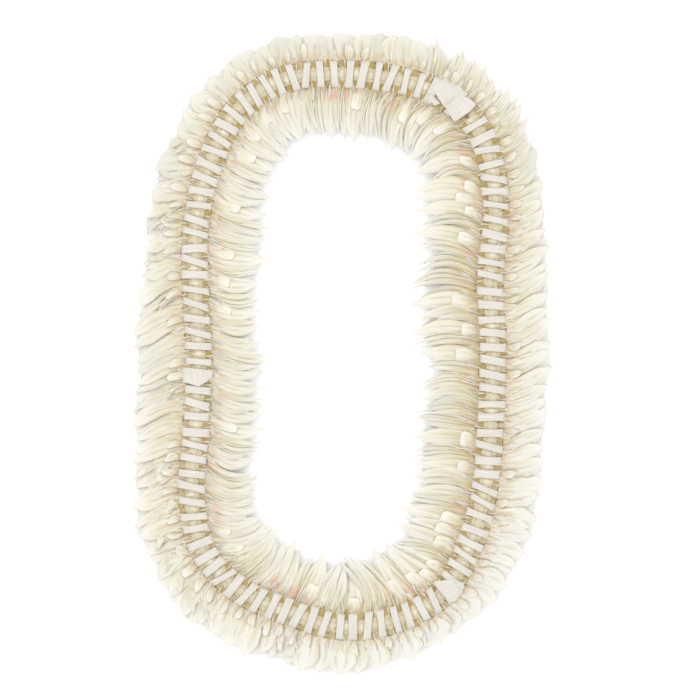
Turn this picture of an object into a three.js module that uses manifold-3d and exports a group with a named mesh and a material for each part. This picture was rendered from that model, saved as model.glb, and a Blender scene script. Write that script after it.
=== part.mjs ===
// A fresh flower lei lying flat on a table.
// Long-petalled white blossoms lie crosswise in pairs on a spine of flower tubes, one bloom pointing into
// the loop and one pointing out of it. Three lengths of white woven ribbon, wound round the spine between
// the pairs, hold them. Millimetres, +Z up, the origin under the middle of the loop at the table.
import * as THREE from "three";
import Module from "manifold-3d";

const wasm = await Module();
wasm.setup();

// The middle line of the spine, counter-clockwise from the join at the upper right, about 1 m round.
const SPINE_ROUTE = [
  [70, 179], [41, 190], [-3, 195], [-45, 190], [-75, 169], [-94, 133], [-104, 89], [-104, 37],
  [-102, 2], [-104, -54], [-107, -99], [-99, -138], [-75, -165], [-38, -182], [0, -192], [39, -186],
  [69, -168], [86, -139], [97, -103], [102, -54], [104, 2], [102, 51], [106, 96], [102, 135], [91, 160],
];

// Blossom pairs, and how many of them make one bunch.
const PAIRS = 104;
const PAIRS_PER_BUNCH = 4;

// How far the petals reach from the middle line, and how far they sweep on round the loop, counter-
// clockwise, half way out and at the tip. Each list goes once round, a value to every eight pairs.
const PAIRS_PER_VALUE = 8;
const INNER_REACH = [51, 46, 46, 47, 46, 46, 48, 45, 51, 51, 50, 52, 50];
const OUTER_REACH = [33, 26, 31, 36, 38.2, 38.2, 37.6, 34, 24.2, 32, 38, 41, 37];
const INNER_MIDDLE_SWEEP = [4, 0, 1, 5, 6, 6, 5, 2, -2, 1, 5, 6, 6];
const INNER_TIP_SWEEP = [4, 0, 0, 3, 4, 3, 6, 5, -8, -2, 4, 5, 6];
const OUTER_TIP_SWEEP = [4, 0, 2, 6, 9, 9, 5, 1, 0, 4, 8, 10, 8];

// The spine inside the ribbon: straight walls and a ridge along the middle.
const SPINE_HALF_WIDTH = 8.7;
const SPINE_BOTTOM = 5.0;
const SPINE_WAIST = 8.8;
const SPINE_SHOULDER = 12.6;
const SPINE_RIDGE = 15.2;

// Where a pair's necks leave the spine, between two turns of the ribbon, and where its petals open.
const NECK_HALF_WIDTH = 0.75;
const ROOT = 10.8;
const ROLL = (25 * Math.PI) / 180;
const STEEPEST_ROLL = (46 * Math.PI) / 180;

// The ribbon: its turns stand square round the spine, narrowest over the ridge.
const RIBBON_HALF_WIDTH = 2.9;
const RIBBON_WAIST = 2.4;
const RIBBON_THICKNESS = 0.8;
const CLEARANCE = 0.3;
const FLAP_THICKNESS = 1.0;

const PETAL = new THREE.MeshStandardMaterial({ color: "#f3eedd", roughness: 0.6, metalness: 0 });
const RIBBON = new THREE.MeshStandardMaterial({ color: "#f0efeb", roughness: 0.85, metalness: 0 });

const UP = new THREE.Vector3(0, 0, 1);
const route = new THREE.CatmullRomCurve3(
  SPINE_ROUTE.map(([x, y]) => new THREE.Vector3(x, y, 0)),
  true,
  "centripetal",
);
route.arcLengthDivisions = 1200;
const PITCH = route.getLength() / PAIRS;

// A seeded draw between -1 and 1, one stream for the whole lei.
let seed = 20731;
function draw() {
  seed = (seed * 16807) % 2147483647;
  return (2 * seed) / 2147483647 - 1;
}

// A list that goes once round the loop, read smoothly at a count of pairs.
function readRound(list, count) {
  const at = count / PAIRS_PER_VALUE;
  const low = Math.floor(at);
  const part = at - low;
  const ease = part * part * (3 - 2 * part);
  const value = (k) => list[((k % list.length) + list.length) % list.length];
  return value(low) * (1 - ease) + value(low + 1) * ease;
}

// The place on the spine at a count of pitches: its origin, the ways forward and outward, and its bend.
function placeAt(count) {
  const at = (((count / PAIRS) % 1) + 1) % 1;
  const step = 1.5 / PAIRS;
  const origin = route.getPointAt(at);
  const forward = route.getTangentAt(at).setZ(0).normalize();
  const out = new THREE.Vector3().crossVectors(forward, UP);
  const before = route.getTangentAt((at - step + 1) % 1);
  const after = route.getTangentAt((at + step) % 1);
  const turn = new THREE.Vector3().crossVectors(before, after).z;
  return { count, origin, forward, out, bend: turn / (3 * PITCH) };
}

// A point given across the spine, along it and above the table.
function pointAt(place, across, along, height) {
  return place.origin
    .clone()
    .addScaledVector(place.out, across)
    .addScaledVector(place.forward, along)
    .addScaledVector(UP, height);
}

// A surface put together ring by ring. Rings that share a corner share its number, so it closes.
class Surface {
  constructor() {
    this.corners = [];
    this.triangles = [];
  }

  ring(points) {
    return points.map((p) => this.corners.push(p) - 1);
  }

  triangle(a, b, c) {
    if (a !== b && b !== c && a !== c) this.triangles.push(a, b, c);
  }

  // A twisted side is folded along the diagonal that stands out, so a thin petal never folds into itself.
  side(a, b, c, d) {
    const [p, q, r, s] = [a, b, c, d].map((corner) => this.corners[corner]);
    const way = r.clone().sub(p).cross(s.clone().sub(q));
    const rise = p.clone().add(r).sub(q).sub(s);
    if (rise.dot(way) >= 0) {
      this.triangle(a, b, c);
      this.triangle(a, c, d);
    } else {
      this.triangle(a, b, d);
      this.triangle(b, c, d);
    }
  }

  // Walls from one ring to the next, leaving out the sides named open.
  wall(from, to, open = []) {
    from.forEach((corner, k) => {
      const next = (k + 1) % from.length;
      if (!open.includes(k)) this.side(corner, to[k], to[next], from[next]);
    });
  }

  startCap(ring) {
    for (let k = 1; k + 1 < ring.length; k++) this.triangle(ring[0], ring[k], ring[k + 1]);
  }

  endCap(ring) {
    for (let k = 1; k + 1 < ring.length; k++) this.triangle(ring[0], ring[k + 1], ring[k]);
  }

  solid() {
    const vertProperties = new Float32Array(this.corners.flatMap((p) => [p.x, p.y, p.z]));
    const triVerts = new Uint32Array(this.triangles);
    return new wasm.Manifold(new wasm.Mesh({ numProp: 3, vertProperties, triVerts }));
  }
}

function meshOf(name, shape, material) {
  const { vertProperties, triVerts } = shape.getMesh();
  const geometry = new THREE.BufferGeometry();
  geometry.setAttribute("position", new THREE.BufferAttribute(vertProperties, 3));
  geometry.setIndex(new THREE.BufferAttribute(triVerts, 1));
  const mesh = new THREE.Mesh(geometry, material);
  mesh.name = name;
  return mesh;
}

// Petals crowd together inside a bend, so there they are rolled up more and lie on each other as before.
function rollAt(place, across, straight) {
  const room = 1 + across * place.bend;
  return Math.min(STEEPEST_ROLL, Math.asin(Math.min(1, Math.sin(straight) / room)));
}

// One petal grown from an opening in the spine's wall. Each station says how far out it is, how far
// forward it has swept, its height, its half width, the height of its crown over its flat underside and
// its roll. The forward edge is rolled up, so that neighbours lie like shingles and never cross.
function growPetal(surface, place, side, opening, stations) {
  let last = opening;
  stations.forEach(([out, sweep, height, half, crown, roll], number) => {
    const rise = Math.sin(roll);
    const flat = Math.cos(roll);
    const back = pointAt(place, side * out, sweep - half * flat, height - half * rise);
    const front = pointAt(place, side * out, sweep + half * flat, height + half * rise);
    const top = pointAt(place, side * out, sweep - crown * rise, height + crown * flat);
    const [b, f, t] = surface.ring([back, front, top]);
    const full = side > 0 ? [b, t, f] : [b, f, t];
    const first = side > 0 ? [b, t, t, f] : [b, f, t, t];
    surface.wall(last, number === 0 ? first : full);
    last = full;
  });
  return last;
}

function growTip(surface, place, side, last, [out, sweep, height]) {
  const [tip] = surface.ring([pointAt(place, side * out, sweep, height)]);
  surface.wall(last, last.map(() => tip));
}

// The bloom that points into the loop: a short rounded petal with a straight end on a long one, and a
// second long petal that droops until its tip lies on the table.
function innerBloom(surface, place, upperOpening, lowerOpening) {
  const tip = readRound(INNER_REACH, place.count) - 1 + 1.8 * draw();
  const middle = readRound(INNER_MIDDLE_SWEEP, place.count) + 0.5 * draw();
  const end = readRound(INNER_TIP_SWEEP, place.count) + 0.8 * draw();
  const roll = rollAt(place, -24, ROLL);
  const upper = growPetal(surface, place, -1, upperOpening, [
    [ROOT, 0, 10.6, 0.7, 1.6, roll],
    [ROOT + 7, 0.5 * middle, 13.6, 5.0, 2.4, roll],
    [ROOT + 16.6, 0.95 * middle, 14.8, 5.9, 2.4, roll],
    [ROOT + 17.4, 0.97 * middle, 14.8, 5.9, 0.9, roll],
    [ROOT + 27, 0.5 * (middle + end), 13.0, 4.6, 0.9, roll],
  ]);
  growTip(surface, place, -1, upper, [tip, end, 8.6]);
  const low = rollAt(place, -24, 0.8 * ROLL);
  const bow = readRound(INNER_MIDDLE_SWEEP, place.count);
  const flat = Math.min(2.0, 0.3 * PITCH * (1 - (ROOT + 27) * place.bend));
  const lower = growPetal(surface, place, -1, lowerOpening, [
    [ROOT, 0, 6.4, 0.7, 1.3, low],
    [ROOT + 9, 0.6 * bow, 6.0, 4.4, 1.0, low],
    [ROOT + 27, bow, 0, flat, 0.8, 0],
  ]);
  growTip(surface, place, -1, lower, [tip - 4, 0.8 * bow, 0]);
}

// The bloom that points out of the loop. Its petals reach further on the long sides than at the ends.
function outerBloom(surface, place, upperOpening, lowerOpening) {
  const tip = readRound(OUTER_REACH, place.count) - 0.5 + 1.2 * draw();
  const end = readRound(OUTER_TIP_SWEEP, place.count) + 0.8 * draw();
  const length = tip - ROOT;
  const roll = rollAt(place, 20, ROLL);
  const spread = 1 + 20 * place.bend;
  const upper = growPetal(surface, place, 1, upperOpening, [
    [ROOT, 0, 10.6, 0.7, 1.6, roll],
    [ROOT + 0.34 * length, 0.25 * end, 14.0, 5.2 * spread, 1.4, roll],
    [ROOT + 0.74 * length, 0.74 * end, 14.2, 5.9 * spread, 1.1, roll],
  ]);
  growTip(surface, place, 1, upper, [tip, end, 10.0]);
  const low = rollAt(place, 20, 0.8 * ROLL);
  const lower = growPetal(surface, place, 1, lowerOpening, [
    [ROOT, 0, 6.4, 0.7, 1.3, low],
    [ROOT + 0.35 * length, 0.3 * end, 5.6, 4.6 * spread, 1.0, low],
    [ROOT + 0.75 * length, 0.8 * end, 0, 3.2 * spread, 0.8, 0],
  ]);
  growTip(surface, place, 1, lower, [tip - 1.5, end, 0]);
}

// The corners of the spine, counter-clockwise as seen looking forward along it.
function spineRing(surface, place, along) {
  const across = [-1, 1, 1, 1, 0, -1, -1].map((side) => side * SPINE_HALF_WIDTH);
  const heights = [
    SPINE_BOTTOM, SPINE_BOTTOM, SPINE_WAIST, SPINE_SHOULDER, SPINE_RIDGE, SPINE_SHOULDER, SPINE_WAIST,
  ];
  return surface.ring(across.map((a, k) => pointAt(place, a, along, heights[k])));
}

// One bunch: its stretch of spine in one piece with the petals of its four pairs.
function bunch(number) {
  const surface = new Surface();
  const from = (number - 1) * PAIRS_PER_BUNCH;
  const start = spineRing(surface, placeAt(from), CLEARANCE / 2);
  surface.startCap(start);
  let last = start;
  for (let k = 0; k < PAIRS_PER_BUNCH; k++) {
    const place = placeAt(from + k + 0.5);
    const a = spineRing(surface, place, -NECK_HALF_WIDTH);
    const b = spineRing(surface, place, NECK_HALF_WIDTH);
    surface.wall(last, a);
    surface.wall(a, b, [1, 2, 5, 6]);
    innerBloom(surface, place, [a[6], b[6], b[5], a[5]], [a[0], b[0], b[6], a[6]]);
    outerBloom(surface, place, [a[2], a[3], b[3], b[2]], [a[1], a[2], b[2], b[1]]);
    last = b;
  }
  const end = spineRing(surface, placeAt(from + PAIRS_PER_BUNCH), -CLEARANCE / 2);
  surface.wall(last, end);
  surface.endCap(end);
  return meshOf("blossom_bunch_" + String(number).padStart(2, "0"), surface.solid(), PETAL);
}

// A station of the ribbon: the two inside corners, then the two outside ones.
function ribbonRing(surface, place, half, inside, outside) {
  return surface.ring([
    pointAt(place, inside[0], -half, inside[1]),
    pointAt(place, inside[0], half, inside[1]),
    pointAt(place, outside[0], half, outside[1]),
    pointAt(place, outside[0], -half, outside[1]),
  ]);
}

// One length of ribbon: square turns round the spine from one band to another, each going on slantwise
// underneath to the next, with a broad flap lying over the bands where the length starts or stops.
function bindingStrip(number, firstBand, lastBand, flaps) {
  const surface = new Surface();
  const wide = SPINE_HALF_WIDTH + CLEARANCE;
  const low = SPINE_BOTTOM - CLEARANCE;
  const shoulder = SPINE_SHOULDER + CLEARANCE / 2;
  const ridge = SPINE_RIDGE + CLEARANCE;
  const t = RIBBON_THICKNESS;
  const turn = [
    [RIBBON_HALF_WIDTH, [wide, low], [wide + t, low - t]],
    [RIBBON_HALF_WIDTH, [wide, shoulder], [wide + t, shoulder + t]],
    [RIBBON_WAIST, [0, ridge], [0, ridge + t]],
    [RIBBON_HALF_WIDTH, [-wide, shoulder], [-wide - t, shoulder + t]],
    [RIBBON_HALF_WIDTH, [-wide, low], [-wide - t, low - t]],
  ];
  let last = null;
  for (let band = firstBand; band <= lastBand; band++) {
    const place = placeAt(band);
    for (const [half, inside, outside] of turn) {
      const ring = ribbonRing(surface, place, half, inside, outside);
      if (last) surface.wall(last, ring);
      else surface.startCap(ring);
      last = ring;
    }
  }
  surface.endCap(last);
  const pieces = flaps.map((f) => flap(f, wide, shoulder + 0.35 * t, ridge + 0.35 * t));
  const whole = pieces.reduce((sum, piece) => sum.add(piece), surface.solid());
  return meshOf("binding_strip_" + number, whole, RIBBON);
}

// A broad flat end of ribbon bent over the ridge, lying along the spine between two counts of pitches.
function flap({ from, to, half }, wide, shoulder, ridge) {
  const surface = new Surface();
  const fall = ((ridge - shoulder) * half) / wide;
  const ring = (count) => {
    const place = placeAt(count);
    const top = FLAP_THICKNESS;
    return surface.ring([
      pointAt(place, 0, 0, ridge),
      pointAt(place, half, 0, ridge - fall),
      pointAt(place, half, 0, ridge - fall + top),
      pointAt(place, 0, 0, ridge + top),
      pointAt(place, -half, 0, ridge - fall + top),
      pointAt(place, -half, 0, ridge - fall),
    ]);
  };
  const rings = [ring(from), ring((from + to) / 2), ring(to)];
  surface.startCap(rings[0]);
  surface.wall(rings[0], rings[1]);
  surface.wall(rings[1], rings[2]);
  surface.endCap(rings[2]);
  return surface.solid();
}

const lei = new THREE.Group();
for (let number = 1; number <= PAIRS / PAIRS_PER_BUNCH; number++) lei.add(bunch(number));
lei.add(
  bindingStrip(1, 1, 34, [{ from: 0.04, to: 1.8, half: 9.4 }]),
  bindingStrip(2, 35, 67, [{ from: 34.42, to: 35.62, half: 10.4 }]),
  bindingStrip(3, 68, 103, [{ from: 67.44, to: 68.62, half: 9.8 }, { from: 102.2, to: 103.96, half: 9.4 }]),
);

export default lei;
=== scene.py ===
# %% [markdown]
# # A fresh flower lei, laid flat
# White, long-petalled blossoms lie crosswise in pairs on a spine of pale flower tubes. One bloom of each
# pair points into the loop and one points out of it, and a white woven ribbon, wound round the spine
# between the pairs, holds them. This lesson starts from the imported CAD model, which settles where the
# spine runs, how far the petals reach and how thick everything is, and gives each bunch and each length
# of ribbon its fine shape and its finish.

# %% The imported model
import math
from types import SimpleNamespace
import bpy
import numpy as np
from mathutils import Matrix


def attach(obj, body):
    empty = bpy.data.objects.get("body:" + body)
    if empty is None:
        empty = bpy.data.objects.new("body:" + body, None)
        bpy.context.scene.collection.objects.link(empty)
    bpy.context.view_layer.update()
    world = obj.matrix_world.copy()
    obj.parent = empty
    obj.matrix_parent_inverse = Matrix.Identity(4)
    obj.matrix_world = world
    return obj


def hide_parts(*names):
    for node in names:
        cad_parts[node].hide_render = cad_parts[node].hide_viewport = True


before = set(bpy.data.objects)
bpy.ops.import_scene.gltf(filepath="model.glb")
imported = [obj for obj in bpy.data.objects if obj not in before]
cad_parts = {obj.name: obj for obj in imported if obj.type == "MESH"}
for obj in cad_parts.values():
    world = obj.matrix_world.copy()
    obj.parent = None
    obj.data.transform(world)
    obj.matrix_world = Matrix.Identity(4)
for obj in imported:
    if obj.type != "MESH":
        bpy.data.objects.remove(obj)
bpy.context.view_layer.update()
MM = 0.001

# %% [markdown]
# ## The camera
# The lei was photographed from straight above. A long lens far away keeps both sides of the loop as flat
# as they look there, so the camera hangs two metres up. Two numbers settle its picture: how many
# millimetres one pixel covers, and which pixel the middle of the loop falls on.

# %% Camera
PIXEL = 0.70 * MM
IMAGE = 700
MIDDLE_PIXEL = (344.5, 352.5)
CAMERA_HEIGHT = 2.0
MID_THICKNESS = 0.012

camera = bpy.data.objects.new("camera", bpy.data.cameras.new("camera"))
bpy.context.scene.collection.objects.link(camera)
camera.location = (
    (IMAGE / 2 - MIDDLE_PIXEL[0]) * PIXEL,
    (MIDDLE_PIXEL[1] - IMAGE / 2) * PIXEL,
    CAMERA_HEIGHT + MID_THICKNESS,
)
camera.data.sensor_width = 36.0
camera.data.lens = camera.data.sensor_width * CAMERA_HEIGHT / (IMAGE * PIXEL)
bpy.context.scene.camera = camera
print("camera at", [round(v, 4) for v in camera.location], "lens", round(camera.data.lens, 1))

# %% [markdown]
# ## The line of the spine
# Everything follows one closed curve. It passes through the same points as the CAD model's, and it is the
# same kind of curve, a centripetal Catmull-Rom spline, so a petal made here grows where the solid one
# does. The curve is cut into 104 equal steps, one to each pair of blossoms. A place on it is the point
# itself, the way forward along the spine, and the way out of the loop.

# %% The route and the places along it
ROUTE = np.array([
    (70, 179), (41, 190), (-3, 195), (-45, 190), (-75, 169), (-94, 133), (-104, 89), (-104, 37),
    (-102, 2), (-104, -54), (-107, -99), (-99, -138), (-75, -165), (-38, -182), (0, -192), (39, -186),
    (69, -168), (86, -139), (97, -103), (102, -54), (104, 2), (102, 51), (106, 96), (102, 135), (91, 160),
], float) * MM
PAIRS = 104
PAIRS_PER_BUNCH = 4
BUNCHES = PAIRS // PAIRS_PER_BUNCH
UP = np.array((0.0, 0.0, 1.0))


def route_point(t):
    """The point of the closed centripetal Catmull-Rom spline at t, from 0 to 1."""
    at = t * len(ROUTE)
    k = int(math.floor(at))
    w = at - k
    p = [ROUTE[(k + j) % len(ROUTE)] for j in (-1, 0, 1, 2)]
    gap = [math.sqrt(np.linalg.norm(p[j + 1] - p[j])) for j in range(3)]
    leave = (p[1] - p[0]) / gap[0] - (p[2] - p[0]) / (gap[0] + gap[1]) + (p[2] - p[1]) / gap[1]
    reach = (p[2] - p[1]) / gap[1] - (p[3] - p[1]) / (gap[1] + gap[2]) + (p[3] - p[2]) / gap[2]
    leave, reach = leave * gap[1], reach * gap[1]
    cubic = 2 * p[1] - 2 * p[2] + leave + reach
    square = -3 * p[1] + 3 * p[2] - 2 * leave - reach
    return cubic * w**3 + square * w**2 + leave * w + p[1]


SAMPLES = 2400
samples = np.array([route_point(k / SAMPLES) for k in range(SAMPLES + 1)])
run = np.concatenate([[0], np.cumsum(np.linalg.norm(np.diff(samples, axis=0), axis=1))])
PITCH = run[-1] / PAIRS


def spine_at(count):
    """Origin, forward and outward at a count of pairs round the loop."""
    def point(c):
        s = (c % PAIRS) / PAIRS * run[-1]
        return np.array((np.interp(s, run, samples[:, 0]), np.interp(s, run, samples[:, 1]), 0.0))
    forward = point(count + 0.03) - point(count - 0.03)
    forward /= np.linalg.norm(forward)
    return point(count), forward, np.cross(forward, UP)


def bend_at(count):
    """How fast the spine turns there, in radians a metre, positive where it turns left."""
    before, after = spine_at(count - 1.5)[1], spine_at(count + 1.5)[1]
    return np.cross(before, after)[2] / (3 * PITCH)


print("spine", round(run[-1], 4), "m round, a pair every", round(PITCH / MM, 2), "mm")

# %% [markdown]
# ## How the petals lie
# The bundle was pressed flat by hand, so the petals don't lie alike all round the loop. Five short lists,
# one value to every eight pairs, say how far they reach and how far they sweep along the spine half way
# out and at the tip. They start from the CAD model's lists, and all but the last were then set once more
# against the photograph.

# %% Reach and sweep round the loop
# All in millimetres. The values start at the join and go round with the count of pairs.
PAIRS_PER_VALUE = 8
INNER_REACH = (47.5, 44.5, 46.5, 49, 45, 45, 50, 44.5, 54, 51, 51.5, 53.5, 52.5)
OUTER_REACH = (30.5, 26.5, 31.5, 35.5, 44, 41, 39.5, 36, 26.5, 37, 39, 40, 31)
INNER_MIDDLE_SWEEP = (6, 1, 1, 5, 6, 6, 5, 1, -2, 0.5, 3.5, 5.5, 7)
INNER_TIP_SWEEP = (0, 0, 0, 5.5, 6.5, 6, 6.5, 4, -12, -4, 2, 1, -1)
OUTER_TIP_SWEEP = (4, 0, 2, 6, 9, 9, 5, 1, 0, 4, 8, 10, 8)


def read_round(values, count):
    """A list that goes once round the loop, read smoothly at a count of pairs."""
    at = count / PAIRS_PER_VALUE
    low = math.floor(at)
    part = at - low
    ease = part * part * (3 - 2 * part)
    return values[low % len(values)] * (1 - ease) + values[(low + 1) % len(values)] * ease


print("inner reach from", min(INNER_REACH), "to", max(INNER_REACH), "mm")

# %% [markdown]
# ## Petal blanks
# A florist sees seven kinds of petal here. The long pointed ones make the inner row and the spears, and
# the broad, diamond and blunt ones make the outer row. The lip is the short one with a straight end that
# lies on the inner petals, the cup is the small hollow one beside the ribbon, and the thin lobe serves for
# every thread, strand and crumb. Each blank is a flat closed leaf of a few dozen faces, with its rows
# closer together toward the tip, where the outline turns fastest. It doesn't know its size yet. It only
# carries, for every corner, how far along the petal it is (s), how far across (t), how wide the petal is
# there, and which way its pleats fold. The next step bends it into place.

# %% Outlines of the seven kinds
# Pairs of how far along the petal, from 0 to 1, and the share of its full width there.
OUTLINES = {
    "blunt": ((0, 0.60), (0.10, 0.78), (0.35, 0.95), (0.70, 1.0), (0.92, 0.92), (1, 0.66)),
    "broad": ((0, 0.62), (0.08, 0.78), (0.25, 0.93), (0.50, 1.0), (0.75, 0.90), (0.92, 0.60), (1, 0.16)),
    "cup": ((0, 0.42), (0.15, 0.80), (0.45, 1.0), (0.75, 0.94), (0.92, 0.62), (1, 0.22)),
    "diamond": ((0, 0.52), (0.15, 0.68), (0.40, 0.96), (0.58, 1.0), (0.78, 0.70), (0.92, 0.30), (1, 0.05)),
    "lip": (
        (0, 0.45), (0.10, 0.75), (0.30, 0.95), (0.70, 1.0), (0.84, 0.97), (0.92, 0.84), (0.97, 0.66),
        (1, 0.45),
    ),
    "lobe": ((0, 0.70), (0.25, 0.90), (0.55, 1.0), (0.85, 0.75), (1, 0.20)),
    "long": (
        (0, 0.60), (0.07, 0.80), (0.22, 0.96), (0.42, 1.0), (0.62, 0.86), (0.80, 0.54), (0.92, 0.25),
        (1, 0.03),
    ),
}
KINDS = sorted(OUTLINES)
print("kinds of petal:", ", ".join(KINDS))

# %% Blanks
# How deep a kind's pleats are beside the others', and how many faces it has across and along.
PLEATS = {"blunt": 0.8, "broad": 1.0, "cup": 0.3, "diamond": 0.8, "lip": 0.35, "lobe": 0.3, "long": 1.0}
COLUMNS = {"blunt": 6, "broad": 6, "cup": 4, "diamond": 6, "lip": 6, "lobe": 2, "long": 6}
ROWS = {"blunt": 7, "broad": 8, "cup": 6, "diamond": 8, "lip": 8, "lobe": 5, "long": 9}
PLEATS_ACROSS = 3
# How strongly the rows crowd toward the tip, how deep a blank is drawn, and how near a corner has to be to
# count as on the rim.
TIP_CROWDING = 1.4
BLANK_DEPTH = 0.1
AT_THE_RIM = 0.01

blanks = bpy.data.collections.new("petal_blanks")


def petal_blank(kind):
    """A closed leaf: a fine top, and a plainer underside with one row of points down its middle."""
    rows, columns = ROWS[kind], COLUMNS[kind]
    knots, widths = zip(*OUTLINES[kind])
    row_at = [1 - (1 - i / rows) ** TIP_CROWDING for i in range(rows + 1)]
    corners, top = [], {}
    for i in range(rows + 1):
        for j in range(columns + 1):
            top[i, j] = len(corners)
            corners.append((row_at[i], 2 * j / columns - 1, 0))
    faces = [
        [top[i, j], top[i + 1, j], top[i + 1, j + 1], top[i, j + 1]]
        for i in range(rows) for j in range(columns)
    ]
    keel = {i: len(corners) + i - 1 for i in range(1, rows)}
    corners += [(row_at[i], 0, 1) for i in range(1, rows)]
    for i in range(1, rows - 1):
        faces.append([top[i, 0], keel[i], keel[i + 1], top[i + 1, 0]])
        faces.append([keel[i], top[i, columns], top[i + 1, columns], keel[i + 1]])
    for i, end in ((1, 0), (rows - 1, rows)):
        rim = [top[i, 0]] + [top[end, j] for j in range(columns + 1)] + [top[i, columns]]
        for a, b in zip(rim, rim[1:]):
            faces.append([a, b, keel[i]] if end == 0 else [b, a, keel[i]])
    mesh = bpy.data.meshes.new(f"blank_{kind}")
    mesh.from_pydata([(s, t, -BLANK_DEPTH * u) for s, t, u in corners], [], faces)
    mesh.shade_smooth()
    carry_values(mesh, kind, np.array(corners, float).T, knots, widths)
    blank = bpy.data.objects.new(f"blank_{kind}", mesh)
    blanks.objects.link(blank)
    return blank


def carry_values(mesh, kind, corners, knots, widths):
    """Gives the blank its values, its UV map, and a sharp rim between its top and its underside."""
    s, t, u = corners
    ends_flat = np.sin(math.pi * np.clip(s, 0.02, 1)) ** 0.5
    fold = PLEATS[kind] * np.cos(PLEATS_ACROSS * math.pi * t) * ends_flat
    for name, values in {
        "s": s, "t": t, "under": u, "wide": np.interp(s, knots, widths), "fold": fold * (1 - u),
    }.items():
        mesh.attributes.new(name, "FLOAT", "POINT").data.foreach_set("value", values.astype(np.float32))
    uv = mesh.uv_layers.new(name="petal_uv")
    for loop in mesh.loops:
        uv.data[loop.index].uv = (0.5 + 0.5 * t[loop.vertex_index], s[loop.vertex_index])
    on_rim = (np.abs(t) > 1 - AT_THE_RIM) | (s < AT_THE_RIM) | (s > 1 - AT_THE_RIM)
    for edge in mesh.edges:
        a, b = edge.vertices
        same_side = abs(s[a] - s[b]) < AT_THE_RIM or abs(t[a] - t[b]) < AT_THE_RIM
        edge.use_edge_sharp = bool(on_rim[a] and on_rim[b] and same_side)


for kind in KINDS:
    print(kind, len(petal_blank(kind).data.polygons), "faces")

# %% [markdown]
# ## Writing sums as nodes
# The rule that bends a petal is a handful of sums. Placed by hand they would be some sixty Math nodes, so
# a small helper stands for one value in a node tree, and adding or multiplying two of them places the node
# and its wires. The finished tree is an ordinary one that can be opened and changed by hand.

# %% A value in a node tree
class Value:
    def __init__(self, tree, socket):
        self.tree, self.socket = tree, socket

    def _node(self, operation, *others, swap=False):
        node = self.tree.nodes.new("ShaderNodeMath")
        node.operation = operation
        order = (self,) + others
        for slot_number, item in enumerate(reversed(order) if swap else order):
            if isinstance(item, Value):
                self.tree.links.new(item.socket, node.inputs[slot_number])
            else:
                node.inputs[slot_number].default_value = item
        return Value(self.tree, node.outputs[0])

    def __add__(self, other):
        return self._node("ADD", other)

    def __radd__(self, other):
        return self._node("ADD", other)

    def __sub__(self, other):
        return self._node("SUBTRACT", other)

    def __rsub__(self, other):
        return self._node("SUBTRACT", other, swap=True)

    def __mul__(self, other):
        return self._node("MULTIPLY", other)

    def __truediv__(self, other):
        return self._node("DIVIDE", other)

    def call(self, operation, *others):
        return self._node(operation, *others)


def named(tree, name, kind="FLOAT"):
    node = tree.nodes.new("GeometryNodeInputNamedAttribute")
    node.data_type = kind
    node.inputs["Name"].default_value = name
    return Value(tree, node.outputs["Attribute"])


def scaled(tree, vector, factor):
    node = tree.nodes.new("ShaderNodeVectorMath")
    node.operation = "SCALE"
    tree.links.new(vector.socket, node.inputs[0])
    tree.links.new(factor.socket, node.inputs["Scale"])
    return node.outputs[0]


def summed(tree, sockets):
    total = sockets[0]
    for socket in sockets[1:]:
        node = tree.nodes.new("ShaderNodeVectorMath")
        node.operation = "ADD"
        tree.links.new(total, node.inputs[0])
        tree.links.new(socket, node.inputs[1])
        total = node.outputs[0]
    return total


print("node sums ready")

# %% [markdown]
# ## The rule that lays a petal
# One node tree lays every petal of a bunch. It takes a cloud of points, one to a petal, each carrying its
# own reach, sweep, heights, roll, curl and pleats. It puts a blank on each point, makes the blanks real,
# and moves every corner to its place: out along the petal, across it on an arc as tight as its curl, and
# up on a curve through three heights. Gentle noise makes its edges ragged and its tip flutter, so that no
# two petals are alike. The tree also stores how far each corner is from the rim, for the finish.

# %% Curves and noise as nodes
def through(s, start, middle, end):
    """The parabola through three values at s = 0, a half and 1."""
    rise, fall = middle - start, end - start
    return start + s * (rise * 4 - fall) + s * s * (fall * 2 - rise * 4)


def noise(tree, x, y, z, detail=1.0):
    """Smooth noise round 0, read at three values."""
    where = tree.nodes.new("ShaderNodeCombineXYZ")
    for number, value in enumerate((x, y, z)):
        tree.links.new(value.socket, where.inputs[number])
    texture = tree.nodes.new("ShaderNodeTexNoise")
    texture.inputs["Scale"].default_value = 1.0
    texture.inputs["Detail"].default_value = detail
    tree.links.new(where.outputs[0], texture.inputs["Vector"])
    return Value(tree, texture.outputs[0]) - 0.5


print("half way between 0, 3 and 4 a curve is at", through(0.5, 0, 3, 4))

# %% The petal tree
# How thick a petal is, how far its tip flutters, how ragged its width is, and its least height.
PETAL_THICKNESS = 0.35 * MM
FLUTTER = 1.1 * MM
RAGGEDNESS = 0.45
ABOVE_TABLE = 0.05 * MM


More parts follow.
